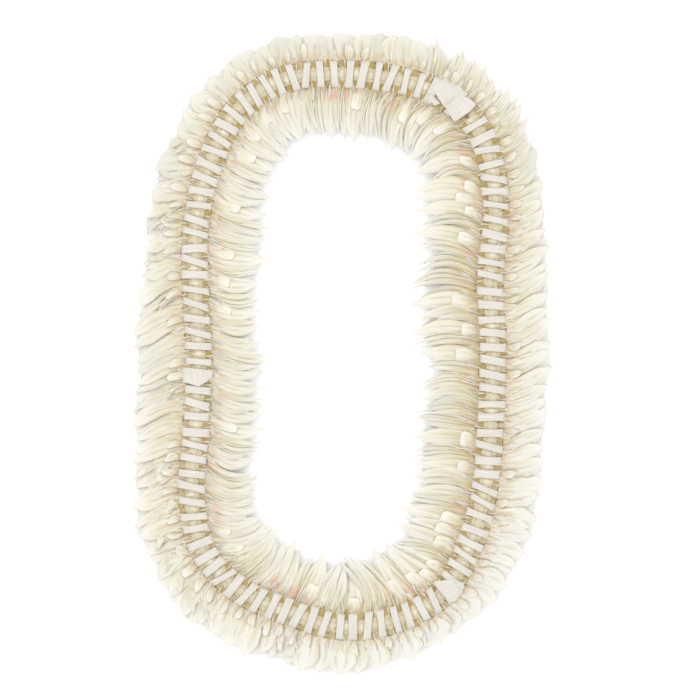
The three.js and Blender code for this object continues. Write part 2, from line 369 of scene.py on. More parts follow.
def petal_tree(petal_material):
    tree = bpy.data.node_groups.new("lay_petals", "GeometryNodeTree")
    tree.interface.new_socket("Geometry", in_out="INPUT", socket_type="NodeSocketGeometry")
    thickness = tree.interface.new_socket("Thickness", in_out="INPUT", socket_type="NodeSocketFloat")
    flutter = tree.interface.new_socket("Flutter", in_out="INPUT", socket_type="NodeSocketFloat")
    raggedness = tree.interface.new_socket("Raggedness", in_out="INPUT", socket_type="NodeSocketFloat")
    thickness.default_value = PETAL_THICKNESS
    flutter.default_value = FLUTTER
    raggedness.default_value = RAGGEDNESS
    sockets = {
        "Thickness": thickness.identifier,
        "Flutter": flutter.identifier,
        "Raggedness": raggedness.identifier,
    }
    tree.interface.new_socket("Geometry", in_out="OUTPUT", socket_type="NodeSocketGeometry")
    nodes, links = tree.nodes, tree.links
    inputs, output = nodes.new("NodeGroupInput"), nodes.new("NodeGroupOutput")

    info = nodes.new("GeometryNodeCollectionInfo")
    info.inputs["Collection"].default_value = blanks
    info.inputs["Separate Children"].default_value = True
    info.inputs["Reset Children"].default_value = True
    place = nodes.new("GeometryNodeInstanceOnPoints")
    place.inputs["Pick Instance"].default_value = True
    links.new(inputs.outputs["Geometry"], place.inputs["Points"])
    links.new(info.outputs[0], place.inputs["Instance"])
    links.new(named(tree, "kind", "INT").socket, place.inputs["Instance Index"])
    real = nodes.new("GeometryNodeRealizeInstances")
    links.new(place.outputs[0], real.inputs[0])

    get = {name: named(tree, name) for name in (
        "s", "t", "under", "wide", "fold", "root", "length", "half", "sweep_root", "sweep_middle",
        "sweep_tip", "low", "middle", "high", "roll", "twist", "curl", "pleat", "seed", "wavy",
    )}
    s, t = get["s"], get["t"]
    # A large multiple of the seed moves each petal to its own part of the noise.
    ragged = noise(tree, s * 2.6, t.call("SIGN") * 5.0, get["seed"] * 71.0)
    half = get["half"] * get["wide"] * (ragged * Value(tree, inputs.outputs["Raggedness"]) + 1.0)
    angle = t * get["curl"]
    across = half * angle.call("SINE") / get["curl"]
    arch = half * (angle.call("COSINE") - 1.0) / get["curl"]
    flutter = noise(tree, s * 3.0, t * 1.3, get["seed"] * 37.0)
    wave = flutter * Value(tree, inputs.outputs["Flutter"]) * get["wavy"] * 2.0 * s
    body = Value(tree, inputs.outputs["Thickness"]) * get["under"]
    normal = arch + get["fold"] * get["pleat"] * get["wide"] + wave - body
    roll = get["roll"] + get["twist"] * s
    rise, flat = roll.call("SINE"), roll.call("COSINE")
    out = get["root"] + s * get["length"]
    sweep = through(s, get["sweep_root"], get["sweep_middle"], get["sweep_tip"])
    side = sweep + across * flat - normal * rise
    height = through(s, get["low"], get["middle"], get["high"]) + across * rise + normal * flat
    height = height.call("MAXIMUM", ABOVE_TABLE)

    lift = nodes.new("ShaderNodeCombineXYZ")
    links.new(height.socket, lift.inputs["Z"])
    position = summed(tree, [
        named(tree, "origin", "FLOAT_VECTOR").socket,
        scaled(tree, named(tree, "out", "FLOAT_VECTOR"), out),
        scaled(tree, named(tree, "side", "FLOAT_VECTOR"), side),
        lift.outputs[0],
    ])
    rim = ((1.0 - t.call("ABSOLUTE")) * half).call("MINIMUM", (1.0 - s) * get["length"])
    keep = nodes.new("GeometryNodeStoreNamedAttribute")
    keep.inputs["Name"].default_value = "rim"
    links.new(real.outputs[0], keep.inputs["Geometry"])
    links.new(rim.socket, keep.inputs["Value"])
    move = nodes.new("GeometryNodeSetPosition")
    links.new(keep.outputs[0], move.inputs["Geometry"])
    links.new(position, move.inputs["Position"])
    finish = nodes.new("GeometryNodeSetMaterial")
    finish.inputs["Material"].default_value = petal_material
    links.new(move.outputs[0], finish.inputs["Geometry"])
    links.new(finish.outputs[0], output.inputs[0])
    return tree, sockets


print("petal rule ready")

# %% [markdown]
# ## Streaks, a finish that petals and tubes share
# Fresh petals are never one colour. Fine lines run from root to tip, and they show as slightly darker and
# lighter streaks. The same streaks run along the flower tubes, so they are a shader node group with the
# number of lines as an input, and each material mixes them in with its own colours. A second output gives
# broad blotches, which break up what would otherwise look even.

# %% Streak group
def rgb(text):
    """A #rrggbb colour as the scene-linear values that a shader wants."""
    values = [int(text[k:k + 2], 16) / 255 for k in (1, 3, 5)]
    return [v / 12.92 if v <= 0.04045 else ((v + 0.055) / 1.055) ** 2.4 for v in values] + [1.0]


def streak_group():
    tree = bpy.data.node_groups.new("plant_streaks", "ShaderNodeTree")
    tree.interface.new_socket("Vector", in_out="INPUT", socket_type="NodeSocketVector")
    tree.interface.new_socket("Seed", in_out="INPUT", socket_type="NodeSocketFloat")
    lines = tree.interface.new_socket("Lines", in_out="INPUT", socket_type="NodeSocketFloat")
    lines.default_value = 9.0
    tree.interface.new_socket("Streak", in_out="OUTPUT", socket_type="NodeSocketFloat")
    tree.interface.new_socket("Blotch", in_out="OUTPUT", socket_type="NodeSocketFloat")
    nodes, links = tree.nodes, tree.links
    inputs, output = nodes.new("NodeGroupInput"), nodes.new("NodeGroupOutput")
    parts = nodes.new("ShaderNodeSeparateXYZ")
    links.new(inputs.outputs["Vector"], parts.inputs[0])
    seed = Value(tree, inputs.outputs["Seed"])
    across, along = Value(tree, parts.outputs["X"]), Value(tree, parts.outputs["Y"])
    for name, values, detail in (
        ("Streak", (across * Value(tree, inputs.outputs["Lines"]), along * 1.6, seed * 53.0), 2.0),
        ("Blotch", (across * 2.0, along * 3.0, seed * 91.0), 1.0),
    ):
        where = nodes.new("ShaderNodeCombineXYZ")
        for number, value in enumerate(values):
            links.new(value.socket, where.inputs[number])
        texture = nodes.new("ShaderNodeTexNoise")
        texture.inputs["Scale"].default_value = 1.0
        texture.inputs["Detail"].default_value = detail
        links.new(where.outputs[0], texture.inputs["Vector"])
        links.new(texture.outputs[0], output.inputs[name])
    return tree


streaks = streak_group()
print("streak group with", len(streaks.nodes), "nodes")

# %% [markdown]
# ## Petal finish
# A petal is cream, nearly white at its tip and warmer towards its root, and some carry a blush of pink
# there. Streaks, gold and the dark line along its edge are strongest near the root too. The line follows
# the distance to the rim that the petal tree stored. It is partly the edge's own colour and partly a
# painted shadow, stronger along the forward edge that lies over the next petal and at the raised end of a
# lip. The valleys of the pleats get a thin painted shade. A petal's tone says how warm it is, from 0 to 1.
# Below 0 it is whiter, and above 1 it is greyer, a painted shade. All of it is painted by how far along
# and across the petal a point is, which the UV map carries, so it stays on the petal from every side. A
# little subsurface light softens the folds.

# %% Colours as nodes
def mixed(tree, factor, first, second, mode="MIX"):
    """A colour mix. Either colour may be a #rrggbb text or a socket."""
    node = tree.nodes.new("ShaderNodeMix")
    node.data_type = "RGBA"
    node.blend_type = mode
    for slot_name, item in (("Factor", factor), ("A", first), ("B", second)):
        socket = [s for s in node.inputs if s.name == slot_name and s.enabled][0]
        if isinstance(item, Value):
            tree.links.new(item.socket, socket)
        elif isinstance(item, str):
            socket.default_value = rgb(item)
        elif isinstance(item, (int, float)):
            socket.default_value = item
        else:
            tree.links.new(item, socket)
    return [s for s in node.outputs if s.enabled][0]


def between(value, low, high):
    """0 below low, 1 above high and smooth in between. With low above high it falls."""
    node = value.tree.nodes.new("ShaderNodeMapRange")
    node.interpolation_type = "SMOOTHSTEP"
    value.tree.links.new(value.socket, node.inputs["Value"])
    node.inputs["From Min"].default_value = min(low, high)
    node.inputs["From Max"].default_value = max(low, high)
    node.inputs["To Min"].default_value = 0.0 if low < high else 1.0
    node.inputs["To Max"].default_value = 1.0 if low < high else 0.0
    return Value(value.tree, node.outputs["Result"])


def painted(tree, name):
    node = tree.nodes.new("ShaderNodeAttribute")
    node.attribute_name = name
    return Value(tree, node.outputs["Fac"])


def new_material(name):
    material = bpy.data.materials.new(name)
    material.use_nodes = True
    return material, material.node_tree, material.node_tree.nodes["Principled BSDF"]


print("colour helpers ready")

# %% The cream of a petal
def petal_ground(tree, across, along, streak, blotch):
    """Cream with its streaks, a painted shade in its pleat valleys and a pale tip, whiter or greyer by the
    petal's tone, the grey a painted shade.
    """
    tone = painted(tree, "tone")
    near_root = between(along, 0.6, 0.1)
    colour = mixed(tree, between(along, 0.02, 0.45), "#c0b69a", "#c5c1b0")
    colour = mixed(tree, between(tone, 0.2, 1.0) * 0.5, colour, "#c1b99a")
    white = (tone * -1.0).call("MAXIMUM", 0.0).call("MINIMUM", 1.0)
    colour = mixed(tree, white, colour, "#c6c6c1")
    yellow = 1.0 - white * 0.5
    dark_streak = between(streak, 0.52, 0.62) * yellow * (near_root * 0.4 + 0.4)
    colour = mixed(tree, dark_streak, colour, "#aca27c")
    colour = mixed(tree, between(streak, 0.46, 0.36) * (near_root * 0.35 + 0.2), colour, "#d2d0c8")
    colour = mixed(tree, between(blotch, 0.50, 0.75) * 0.25, colour, "#bdb493")
    # The valleys of the pleats get a thin painted shade, here and there.
    fold = ((across * 2.0 - 1.0) * (PLEATS_ACROSS * math.pi)).call("COSINE")
    pleat_valley_shade = between(fold, -0.55, -1.0) * between(along, 0.0, 0.2) * between(blotch, 0.40, 0.56)
    colour = mixed(tree, pleat_valley_shade * yellow * 0.6, colour, "#a4996e")
    colour = mixed(tree, between(along, 0.50, 1.0) * 0.7, colour, "#d2d0c7")
    # Above 1 the tone greys the petal, more towards its tip: a painted shade.
    grey_shade = (tone - 1.0) * (between(along, 0.0, 0.7) * 0.6 + 0.4)
    return mixed(tree, grey_shade, colour, "#a9a89d")


print("petal ground ready")

# %% The warm root and the edge of a petal
def warm_root(tree, along, streak, blotch, colour):
    """Gold in streaks, brown where gold is above 1, olive, which in the hollows is partly a painted shade,
    and the blush of pink.
    """
    gold = painted(tree, "gold")
    in_streaks = between(streak, 0.42, 0.60) * 1.1 + 0.5
    colour = mixed(tree, (1.0 - along / 0.6) * gold * in_streaks, colour, "#9f9056")
    colour = mixed(tree, gold - 1.0, colour, "#74472c")
    colour = mixed(tree, painted(tree, "olive"), colour, "#8d7126")
    pink = between(along, 0.42, 0.02) * painted(tree, "blush") * between(blotch, 0.36, 0.62)
    pink = pink * (between(streak, 0.40, 0.56) * 0.6 + 0.7)
    colour = mixed(tree, pink, colour, "#b98474")
    joint = gold.call("MINIMUM", 1.0) * 0.5 + 0.12
    return mixed(tree, between(along, 0.07, 0.0) * joint, colour, "#a07f5a")


def rim_line_and_shadow(tree, across, along, colour):
    """The line along the rim, partly the edge's own colour and partly a painted shadow, stronger on the
    forward side that lies over the next petal. It fades at the tip unless the petal has a cap, whose raised
    end keeps a painted shadow line.
    """
    near_root = between(along, 0.6, 0.1)
    # The forward half lies over the next petal, so it gets the stronger line, a painted shadow.
    overlap_shadow_side = between(across, 0.4, 0.6) * 0.65 + 0.35
    line = between(painted(tree, "rim"), 1.0 * MM, 0.2 * MM) * painted(tree, "outline") * overlap_shadow_side
    fade = between(along, 0.50, 0.88) * (1.0 - painted(tree, "cap"))
    line = line * (1.0 - fade) * (near_root * 0.4 + 0.9)
    edge = mixed(tree, painted(tree, "tan"), "#8d855f", "#9f8669")
    return mixed(tree, line, colour, mixed(tree, near_root * 0.7, edge, "#9c7a40"))


print("root and edge ready")

# %% Petal material
PETAL_LINES = 6.5


def petal_material():
    material, tree, shader = new_material("fresh_petal")
    uv = tree.nodes.new("ShaderNodeUVMap")
    uv.uv_map = "petal_uv"
    parts = tree.nodes.new("ShaderNodeSeparateXYZ")
    tree.links.new(uv.outputs[0], parts.inputs[0])
    across, along = Value(tree, parts.outputs["X"]), Value(tree, parts.outputs["Y"])
    group = tree.nodes.new("ShaderNodeGroup")
    group.node_tree = streaks
    tree.links.new(uv.outputs[0], group.inputs["Vector"])
    tree.links.new(painted(tree, "tone").socket, group.inputs["Seed"])
    group.inputs["Lines"].default_value = PETAL_LINES
    streak, blotch = Value(tree, group.outputs["Streak"]), Value(tree, group.outputs["Blotch"])
    colour = petal_ground(tree, across, along, streak, blotch)
    colour = warm_root(tree, along, streak, blotch, colour)
    colour = rim_line_and_shadow(tree, across, along, colour)
    tree.links.new(colour, shader.inputs["Base Color"])
    roughness = 0.62 - between(streak, 0.4, 0.7) * 0.12
    tree.links.new(roughness.socket, shader.inputs["Roughness"])
    bump = tree.nodes.new("ShaderNodeBump")
    bump.inputs["Strength"].default_value = 0.35
    bump.inputs["Distance"].default_value = 0.4 * MM
    tree.links.new(streak.socket, bump.inputs["Height"])
    tree.links.new(bump.outputs[0], shader.inputs["Normal"])
    shader.inputs["Subsurface Weight"].default_value = 0.15
    shader.inputs["Subsurface Radius"].default_value = (1.0, 1.0, 1.0)
    shader.inputs["Subsurface Scale"].default_value = 0.5 * MM
    shader.inputs["Specular IOR Level"].default_value = 0.3
    return material


fresh_petal = petal_material()
lay_petals, petal_inputs = petal_tree(fresh_petal)
print("petal material with", len(fresh_petal.node_tree.nodes), "nodes")

# %% [markdown]
# ## The points that the petals grow from
# Each pair has an inner and an outer bloom. A bloom is a few long petals lying nearly on each other,
# lower ones that droop to the table, and the small ones on top. One petal is one set of numbers, drawn
# with a fixed seed round what the lists give at its place on the loop. Petals are rolled a little about
# their length, forward edge up, and more where a bend crowds them, so neighbours lie like roof tiles
# instead of cutting through.

# %% Chance and roll
draw = np.random.default_rng(20731)
# How far a bloom may stand from its even place, in pairs.
LOOSE_PLACE = 0.12
# The roll where the spine is straight, of most petals and of the low ones, and the steepest that a bend
# gives. Inside a bend petals have less room, but this share of it counts as left in any case.
ROLL = math.radians(12)
LOW_ROLL = 0.9 * ROLL
STEEPEST_ROLL = math.radians(40)
LEAST_ROOM = 0.2


def vary(amount):
    return draw.uniform(-amount, amount)


def roll_at(count, across, straight):
    """Petals crowd inside a bend, so there they are rolled up more. across is in millimetres."""
    room = max(LEAST_ROOM, 1 + across * MM * bend_at(count))
    return min(STEEPEST_ROLL, math.asin(min(1.0, math.sin(straight) / room)))


print("roll inside the bend at the join", round(math.degrees(roll_at(0, -24, ROLL)), 1), "degrees")

# %% One petal
# Where most petals start, in millimetres from the line of the spine, and how far a petal may be twisted
# from root to tip, in radians.
ROOT = 9.7
TWIST = 0.12


def petal(count, side, kind, reach, half, sweeps, heights, roll, curl, pleat, blush=0.0, gold=0.0,
          outline=0.5, tan=0.0, cap=0.0, olive=0.0, tone=None, wavy=1.0, twist_more=0.0):
    """One petal's numbers, in millimetres. side is 1 for out of the loop and -1 for into it.

    reach is its start and its end from the line of the spine, and half is half its width. sweeps and
    heights are its places along the spine and above the table, at the root, half way and at the tip.
    roll and curl are in radians, pleat is how deep its pleats are, and the rest is for its finish.
    """
    origin, forward, out = spine_at(count)
    return {
        "origin": origin, "out": out * side, "side": forward, "kind": KINDS.index(kind),
        "root": reach[0] * MM, "length": (reach[1] - reach[0]) * MM, "half": half * MM,
        "sweep_root": sweeps[0] * MM, "sweep_middle": sweeps[1] * MM, "sweep_tip": sweeps[2] * MM,
        "low": heights[0] * MM, "middle": heights[1] * MM, "high": heights[2] * MM,
        "roll": roll, "twist": twist_more + vary(TWIST), "curl": curl, "pleat": pleat * MM,
        "seed": draw.random(), "tone": draw.random() if tone is None else tone, "blush": blush,
        "gold": gold, "outline": outline, "tan": tan, "cap": cap, "olive": olive,
        "wavy": wavy,
    }


print("petals start", ROOT, "mm from the line of the spine")

# %% [markdown]
# ## Inner blooms
# The inner petals are the longest. Each bloom has three petals below, which fill the row, and one of three
# tops: a broad petal with a folded lip on it, a broad petal with one strand on it, or three or four
# strands side by side. Fine pale and golden threads lie on the roots. Which top a bloom gets, how golden
# its root is and how far its tips stand apart change round the loop, so each of these is one more short
# list. At the bottom the row parts, and its petals lean away to both sides.

# %% Lists for the inner row
# Roughly the shares of blooms that have a lip, and that have strands.
LIP_SHARE = (0.45, 0.3, 0.3, 0.3, 0.3, 0.3, 0.3, 0.4, 0.4, 0.45, 0.5, 0.55, 0.55)
STRAND_SHARE = (0.65, 0.3, 0.25, 0.25, 0.25, 0.25, 0.3, 0.3, 0.3, 0.35, 0.4, 0.4, 0.65)
# How far a lip leans along the spine, and half its width, in millimetres.
LIP_SWEEP = (5, 2, 2, 5.5, 7, 7, 5.5, 1, -5, -1, 2, 3.5, 6)
LIP_HALF = (4.4, 4.6, 4.6, 4.3, 4.2, 4.2, 4.6, 5.2, 6.0, 6.2, 6.3, 5.6, 4.6)
# How much greyer the petals are, how golden their roots, and how far the tips of blooms stand apart.
INNER_SHADE = (0.15, 0, 0, 0, 0, 0, 0, 0.15, 0.25, 0.3, 0.4, 0.45, 0.5)
INNER_BASE = (1.5, 1.0, 0.6, 0.4, 0.35, 0.4, 0.6, 0.8, 1.0, 1.4, 1.5, 1.6, 1.7)
TIPS_APART = (0.9, 0.3, 0.35, 0.45, 0.45, 0.4, 0.3, 0.25, 0.3, 0.3, 0.4, 0.7, 1.0)
PARTING = 59.6


def parted(count):
    """Near the parting, how far a petal leans aside and how far it draws back, in millimetres."""
    ahead = count - PARTING
    lean = 4 * max(0, 1 + ahead / 3.5) if ahead < 0 else -8 * max(0, 1 - ahead / 4.5)
    return lean, 16 * math.exp(-(ahead / 0.8) ** 2)


print("at the parting petals draw back", parted(PARTING)[1], "mm")

# %% What the petals of an inner bloom share
# How far out the roll is reckoned, in millimetres. Below 0 is inside the loop.
INNER_MIDST = -24


def inner_place(count):
    """The place, reach, sweep and colour of one inner bloom, varied round the lists' values."""
    odd = int(count) % 2
    bloom = SimpleNamespace(count=count + vary(LOOSE_PLACE))
    lean, drawn_back = parted(bloom.count)
    bloom.apart = read_round(TIPS_APART, bloom.count)
    bloom.tip = read_round(INNER_REACH, bloom.count) + vary(3.2 + 1.2 * bloom.apart) - drawn_back
    bloom.middle = 1.3 * read_round(INNER_MIDDLE_SWEEP, bloom.count) + vary(1.3) - 0.05 * lean
    bloom.end = read_round(INNER_TIP_SWEEP, bloom.count) + vary(2.5 + 1.5 * bloom.apart) + lean
    bloom.lip = read_round(LIP_SWEEP, bloom.count) + vary(1.0)
    bloom.base = read_round(INNER_BASE, bloom.count)
    bloom.roll = roll_at(bloom.count, INNER_MIDST, ROLL) + vary(0.07)
    bloom.low_roll = roll_at(bloom.count, INNER_MIDST, LOW_ROLL)
    bloom.blush = 1.5 * draw.random() ** 1.6 * min(1.0, 0.5 + 0.5 * bloom.base)
    bloom.style = (draw.random() + 0.45 * odd) / 1.45
    bloom.fill = bloom.middle
    bloom.has_lip = bloom.style < read_round(LIP_SHARE, bloom.count)
    if bloom.has_lip:
        bloom.middle = bloom.lip + 0.3
        bloom.end = 0.9 * bloom.lip + vary(1.5)
        bloom.fill = 0.5 * (bloom.fill + bloom.middle)
    return bloom


def inner_petal(bloom, kind, reach, half, sweeps, heights, **more):
    """One petal of an inner bloom. What the call doesn't say, it shares with the bloom's others."""
    keys = {
        "roll": bloom.roll, "curl": 0.42, "pleat": 0.5, "blush": bloom.blush, "gold": 0.35 * bloom.base,
        "tone": draw.random(), **more,
    }
    keys["tone"] += read_round(INNER_SHADE, bloom.count)
    return petal(bloom.count, -1, kind, reach, half, sweeps, heights, **keys)


print("inner rolls are reckoned", -INNER_MIDST, "mm inside the line of the spine")

# %% Below and on top of the inner row
def inner_below(bloom):
    """Two long petals that fill the row and a short one that covers their roots."""
    tip, end, fill, apart, base = bloom.tip, bloom.end, bloom.fill, bloom.apart, bloom.base
    return [
        inner_petal(
            bloom, "broad", (ROOT, tip - 4 - 12 * apart + vary(2)), 6.4, (0, fill + 1.5, end + 1.5),
            (8.6, 9.2, 4.0), roll=bloom.low_roll, gold=0.5 * base, blush=0.1),
        inner_petal(
            bloom, "long", (9.0, tip - 5 - 9 * apart + vary(3)), 6.2 - 1.5 * apart,
            (5, fill + 5.2, end + 5.0), (11.6, 11.4, 5.4), gold=0.7 * base, blush=0.1),
        inner_petal(
            bloom, "broad", (9.0, 25 + vary(2)), 4.8, (5, 0.5 * fill + 4.8, fill + 4.4),
            (12.4, 12.7, 9.6), roll=0.4 * bloom.roll, curl=0.6, gold=min(1.15, 0.8 * base), blush=0.2),
    ]


def with_lip(bloom):
    """A broad petal, and on it a short folded one that ends straight."""
    half = read_round(LIP_HALF, bloom.count) + vary(0.5)
    return [
        inner_petal(
            bloom, "long", (ROOT, bloom.tip), 7.3, (0, bloom.middle, bloom.end), (11.6, 13.6, 7.6),
            pleat=0.5, tone=0.15, outline=0.6),
        inner_petal(
            bloom, "lip", (ROOT - 0.4, ROOT + 15.5 + vary(4.5)), 1.05 * half,
            (0, 0.53 * bloom.lip + 0.2, 0.89 * bloom.lip + vary(0.8)), (12.2, 14.4, 14.3),
            roll=0.9 * bloom.roll, curl=0.6, pleat=0.2, tone=0.4 + 0.6 * draw.random(), cap=1.0,
            outline=1.1, tan=0.5 * bloom.base, blush=min(1.2, 1.2 * bloom.blush + 0.35)),
    ]


def with_one_strand(bloom):
    """A broad petal, and one narrow strand along its edge."""
    return [
        inner_petal(
            bloom, "long", (ROOT, bloom.tip), 7.0 - 1.6 * bloom.apart, (0, bloom.middle, bloom.end),
            (11.6, 13.8, 7.8), pleat=0.8, tone=0.3, outline=0.7 + 0.3 * bloom.apart),
        inner_petal(
            bloom, "long", (ROOT + 0.5, bloom.tip - 5 + vary(3)), 3.0,
            (-1.8, bloom.middle - 3.6, bloom.end - 3.4 + vary(1)), (11.2, 14.6, 9.6),
            curl=0.6, outline=0.7),
    ]


def all_strands(bloom):
    """Three or four narrow strands side by side. They close up at the tip where the tips stand apart."""
    apart = bloom.apart
    shifts = (3.8, 0.3, -3.2) if apart > 0.5 else (4.2, 1.6, -0.8, -3.2)
    return [
        inner_petal(
            bloom, "long", (ROOT + 0.2 * step, bloom.tip + 0.5 - abs(shift) * 0.9 + vary(2.4)),
            2.9 - 0.5 * apart,
            (0.35 * shift, bloom.middle + shift + vary(0.6),
             bloom.end + (1.3 - 1.0 * apart) * shift + vary(1.6)),
            (11.2 + 0.4 * step, 12.8 + 0.6 * step, 7.4 + 0.5 * step + vary(0.6)),
            curl=0.7, pleat=0.3, gold=0.5 * bloom.base, outline=1.0 + 0.3 * apart,
            tone=0.6 + vary(0.4), tan=0.5 * apart * draw.random())
        for step, shift in enumerate(shifts)
    ]


print("at the join the share of lips is", LIP_SHARE[0], "and of strands", STRAND_SHARE[0])

# %% Threads at the root, and the whole inner bloom
THREADS = 4


def inner_threads(bloom):
    """Golden threads and pale ones in turn, across the roots."""
    made = []
    warmth = min(1.0, 0.45 + 0.55 * bloom.base)
    for number in range(THREADS):
        pale = number % 2
        aside = 4.4 * draw.random() if pale else 3.6 + vary(1.6)
        made.append(inner_petal(
            bloom, "lobe", (7.0 + vary(1.5), ROOT + 10 + vary(5)), 0.7 if pale else 0.55,
            (aside, 0.3 * bloom.middle + aside + 0.6 + vary(1.0),
             0.55 * bloom.middle + aside + 1.2 + vary(1.2)),
            (12.3, 14.1 + 0.3 * pale + vary(0.4), 13.2 + vary(0.5)), curl=1.2, roll=0.2,
            gold=0.2 if pale else warmth * (1.0 + vary(0.2)), tone=-0.7 if pale else 0.6,
            olive=0.0 if pale else 0.3 * warmth * draw.random(), outline=0.7))
    return made


def inner_bloom(count):
    """The long petals that point into the loop."""
    bloom = inner_place(count)
    made = inner_below(bloom)
    if bloom.has_lip:
        made += with_lip(bloom)
    elif bloom.style < 1 - read_round(STRAND_SHARE, bloom.count):
        made += with_one_strand(bloom)
    else:
        made += all_strands(bloom)
    return made + inner_threads(bloom)


print("an inner bloom has", len(inner_bloom(30.1)), "petals")

# %% [markdown]
# ## Outer blooms
# The outer petals are shorter and broader, and lie like scales. Two low ones fill the row, and a narrow
# one covers their roots. On top lies one broad petal, often with a smaller one on it. Near the join the
# row opens into a fan of spears instead, and at the lower left it was crushed, so many blooms there end
# in five small petals, curled up and down in turn. A small hollow cup and two thin lobes close the root
# beside the ribbon.

# %% Lists for the outer row
# The fan's first and last count. Past 104 the counts go on from 0.
SPIKED = (97.5, 105.6)
# The shares of blooms that are crushed, and whose top petal is a diamond or blunt.
RUFFLED = (0, 0, 0.15, 0.1, 0.15, 0.6, 0.95, 0.3, 0, 0, 0, 0, 0)
POINTED = (0.4, 0.4, 0.35, 0.4, 0.6, 0.6, 0.4, 0.9, 0.9, 0.7, 0.6, 0.5, 0.6)
BLUNT = (0.1, 0.3, 0.35, 0.2, 0.1, 0.1, 0.2, 0, 0, 0, 0.1, 0.1, 0)
# How much whiter the petals are, where below 0 is greyer, a painted shade, and how large their top petal is,
# from 0 to 1.
OUTER_WHITE = (-1.65, -1.65, -1.55, -1.4, -1.4, -1.2, -0.8, 0.3, 0.8, 0.5, 0.3, -0.6, -1.5)
OUTER_LARGE = (0, 0, 0, 0, 0, 0, 0, 1, 1, 0.3, 0, 0, 0)
# Between these counts the cup beside the ribbon is pointed.
POINTED_CUPS = (66, 98)


def is_spiked(count):
    return SPIKED[0] < count < SPIKED[1] or SPIKED[0] < count + PAIRS < SPIKED[1]


print("the fan takes", sum(is_spiked(count) for count in range(PAIRS)), "pairs")

# %% What the petals of an outer bloom share
# How far out the roll is reckoned, in millimetres.
OUTER_MIDST = 20


def outer_place(count):
    """The place, reach, sweep and colour of one outer bloom, varied round the lists' values."""
    bloom = SimpleNamespace(large=read_round(OUTER_LARGE, count))
    bloom.over = (0.9 if int(count) % 2 else -0.7) * bloom.large
    bloom.count = count + vary(LOOSE_PLACE)
    bloom.tip = read_round(OUTER_REACH, bloom.count) + 0.6 + vary(2.2)
    bloom.end = 1.7 * read_round(OUTER_TIP_SWEEP, bloom.count) + vary(2.6)
    bloom.bend = 0.22 * bloom.end
    bloom.spread = 1 + OUTER_MIDST * MM * bend_at(bloom.count)
    bloom.roll = roll_at(bloom.count, OUTER_MIDST, ROLL) + vary(0.10)
    bloom.low_roll = roll_at(bloom.count, OUTER_MIDST, LOW_ROLL)
    bloom.blush = 0.1 + 0.4 * draw.random()
    bloom.white = read_round(OUTER_WHITE, bloom.count)
    bloom.spiked = is_spiked(bloom.count)
    bloom.choice = draw.random()
    return bloom


def outer_petal(bloom, kind, reach, half, sweeps, heights, **more):
    """One petal of an outer bloom. What the call doesn't say, it shares with the bloom's others."""
    least = 0.7 if bloom.white < 0 else 0.4
    keys = {
        "roll": bloom.roll, "curl": 0.4, "pleat": 0.5, "blush": bloom.blush, "wavy": 1.4,
        "tone": -bloom.white * (least + (1 - least) * draw.random()), "gold": 0.0, **more,
    }
    keys["gold"] *= 1 - 0.6 * bloom.large
    keys["blush"] *= 1 - 0.5 * bloom.large
    return petal(bloom.count, 1, kind, reach, half, sweeps, heights, **keys)


def outer_below(bloom):
    """Two low petals that fill the row, shorter in the fan, and a narrow one over their roots."""
    tip = bloom.tip - (8 if bloom.spiked else 0)
    bend, end, spread = bloom.bend, bloom.end, bloom.spread
    return [
        outer_petal(
            bloom, "broad", (ROOT, tip - 1 + vary(1)), 7.8 * spread, (0, bend, end), (8.4, 8.2, 2.4),
            roll=bloom.low_roll, gold=0.2, blush=0.1),
        outer_petal(
            bloom, "broad", (9.0, tip - 2 + vary(1)), 7.6 * spread, (5, bend + 5, end + 4.5),
            (12.0, 11.4, 5.4), gold=0.25, blush=0.0),
        outer_petal(
            bloom, "long", (8.8, 23 + vary(3)), 3.2 * spread,
            (5.0 + vary(0.6), 0.5 * bend + 4.8, 0.6 * end + 4.4), (12.4, 13.2, 10.0),
            roll=0.4 * bloom.roll, curl=0.9, gold=0.5, blush=0.15, tone=0.8, outline=0.9, tan=0.6),
    ]


print("outer rolls are reckoned", OUTER_MIDST, "mm outside the line of the spine")

# %% Spears and crushed petals
# Where the small petals of a crushed bloom start, in millimetres from its root, and their kinds.
RUFFLE_STARTS = (0, 1, 5, 10, 3)
RUFFLE_KINDS = ("cup", "diamond", "blunt", "diamond", "cup")


def spears(bloom):
    """Three pointed petals that stand clear of the row, in the fan at the join."""
    return [
        outer_petal(
            bloom, "long", (ROOT, bloom.tip + 3.0 - 0.5 * abs(shift) + vary(3.2)), 4.5,
            (0.3 * shift, bloom.bend + shift + vary(0.6), bloom.end + 0.9 * shift + vary(1.8)),
            (10.6 + 0.6 * step, 13.0 + 0.8 * step, 8.6 + 1.1 * step),
            curl=0.8, pleat=0.6, gold=0.45, outline=1.1, tan=0.4, tone=0.75 + vary(0.45))
        for step, shift in enumerate((3.6, 0.0, -3.6))
    ]


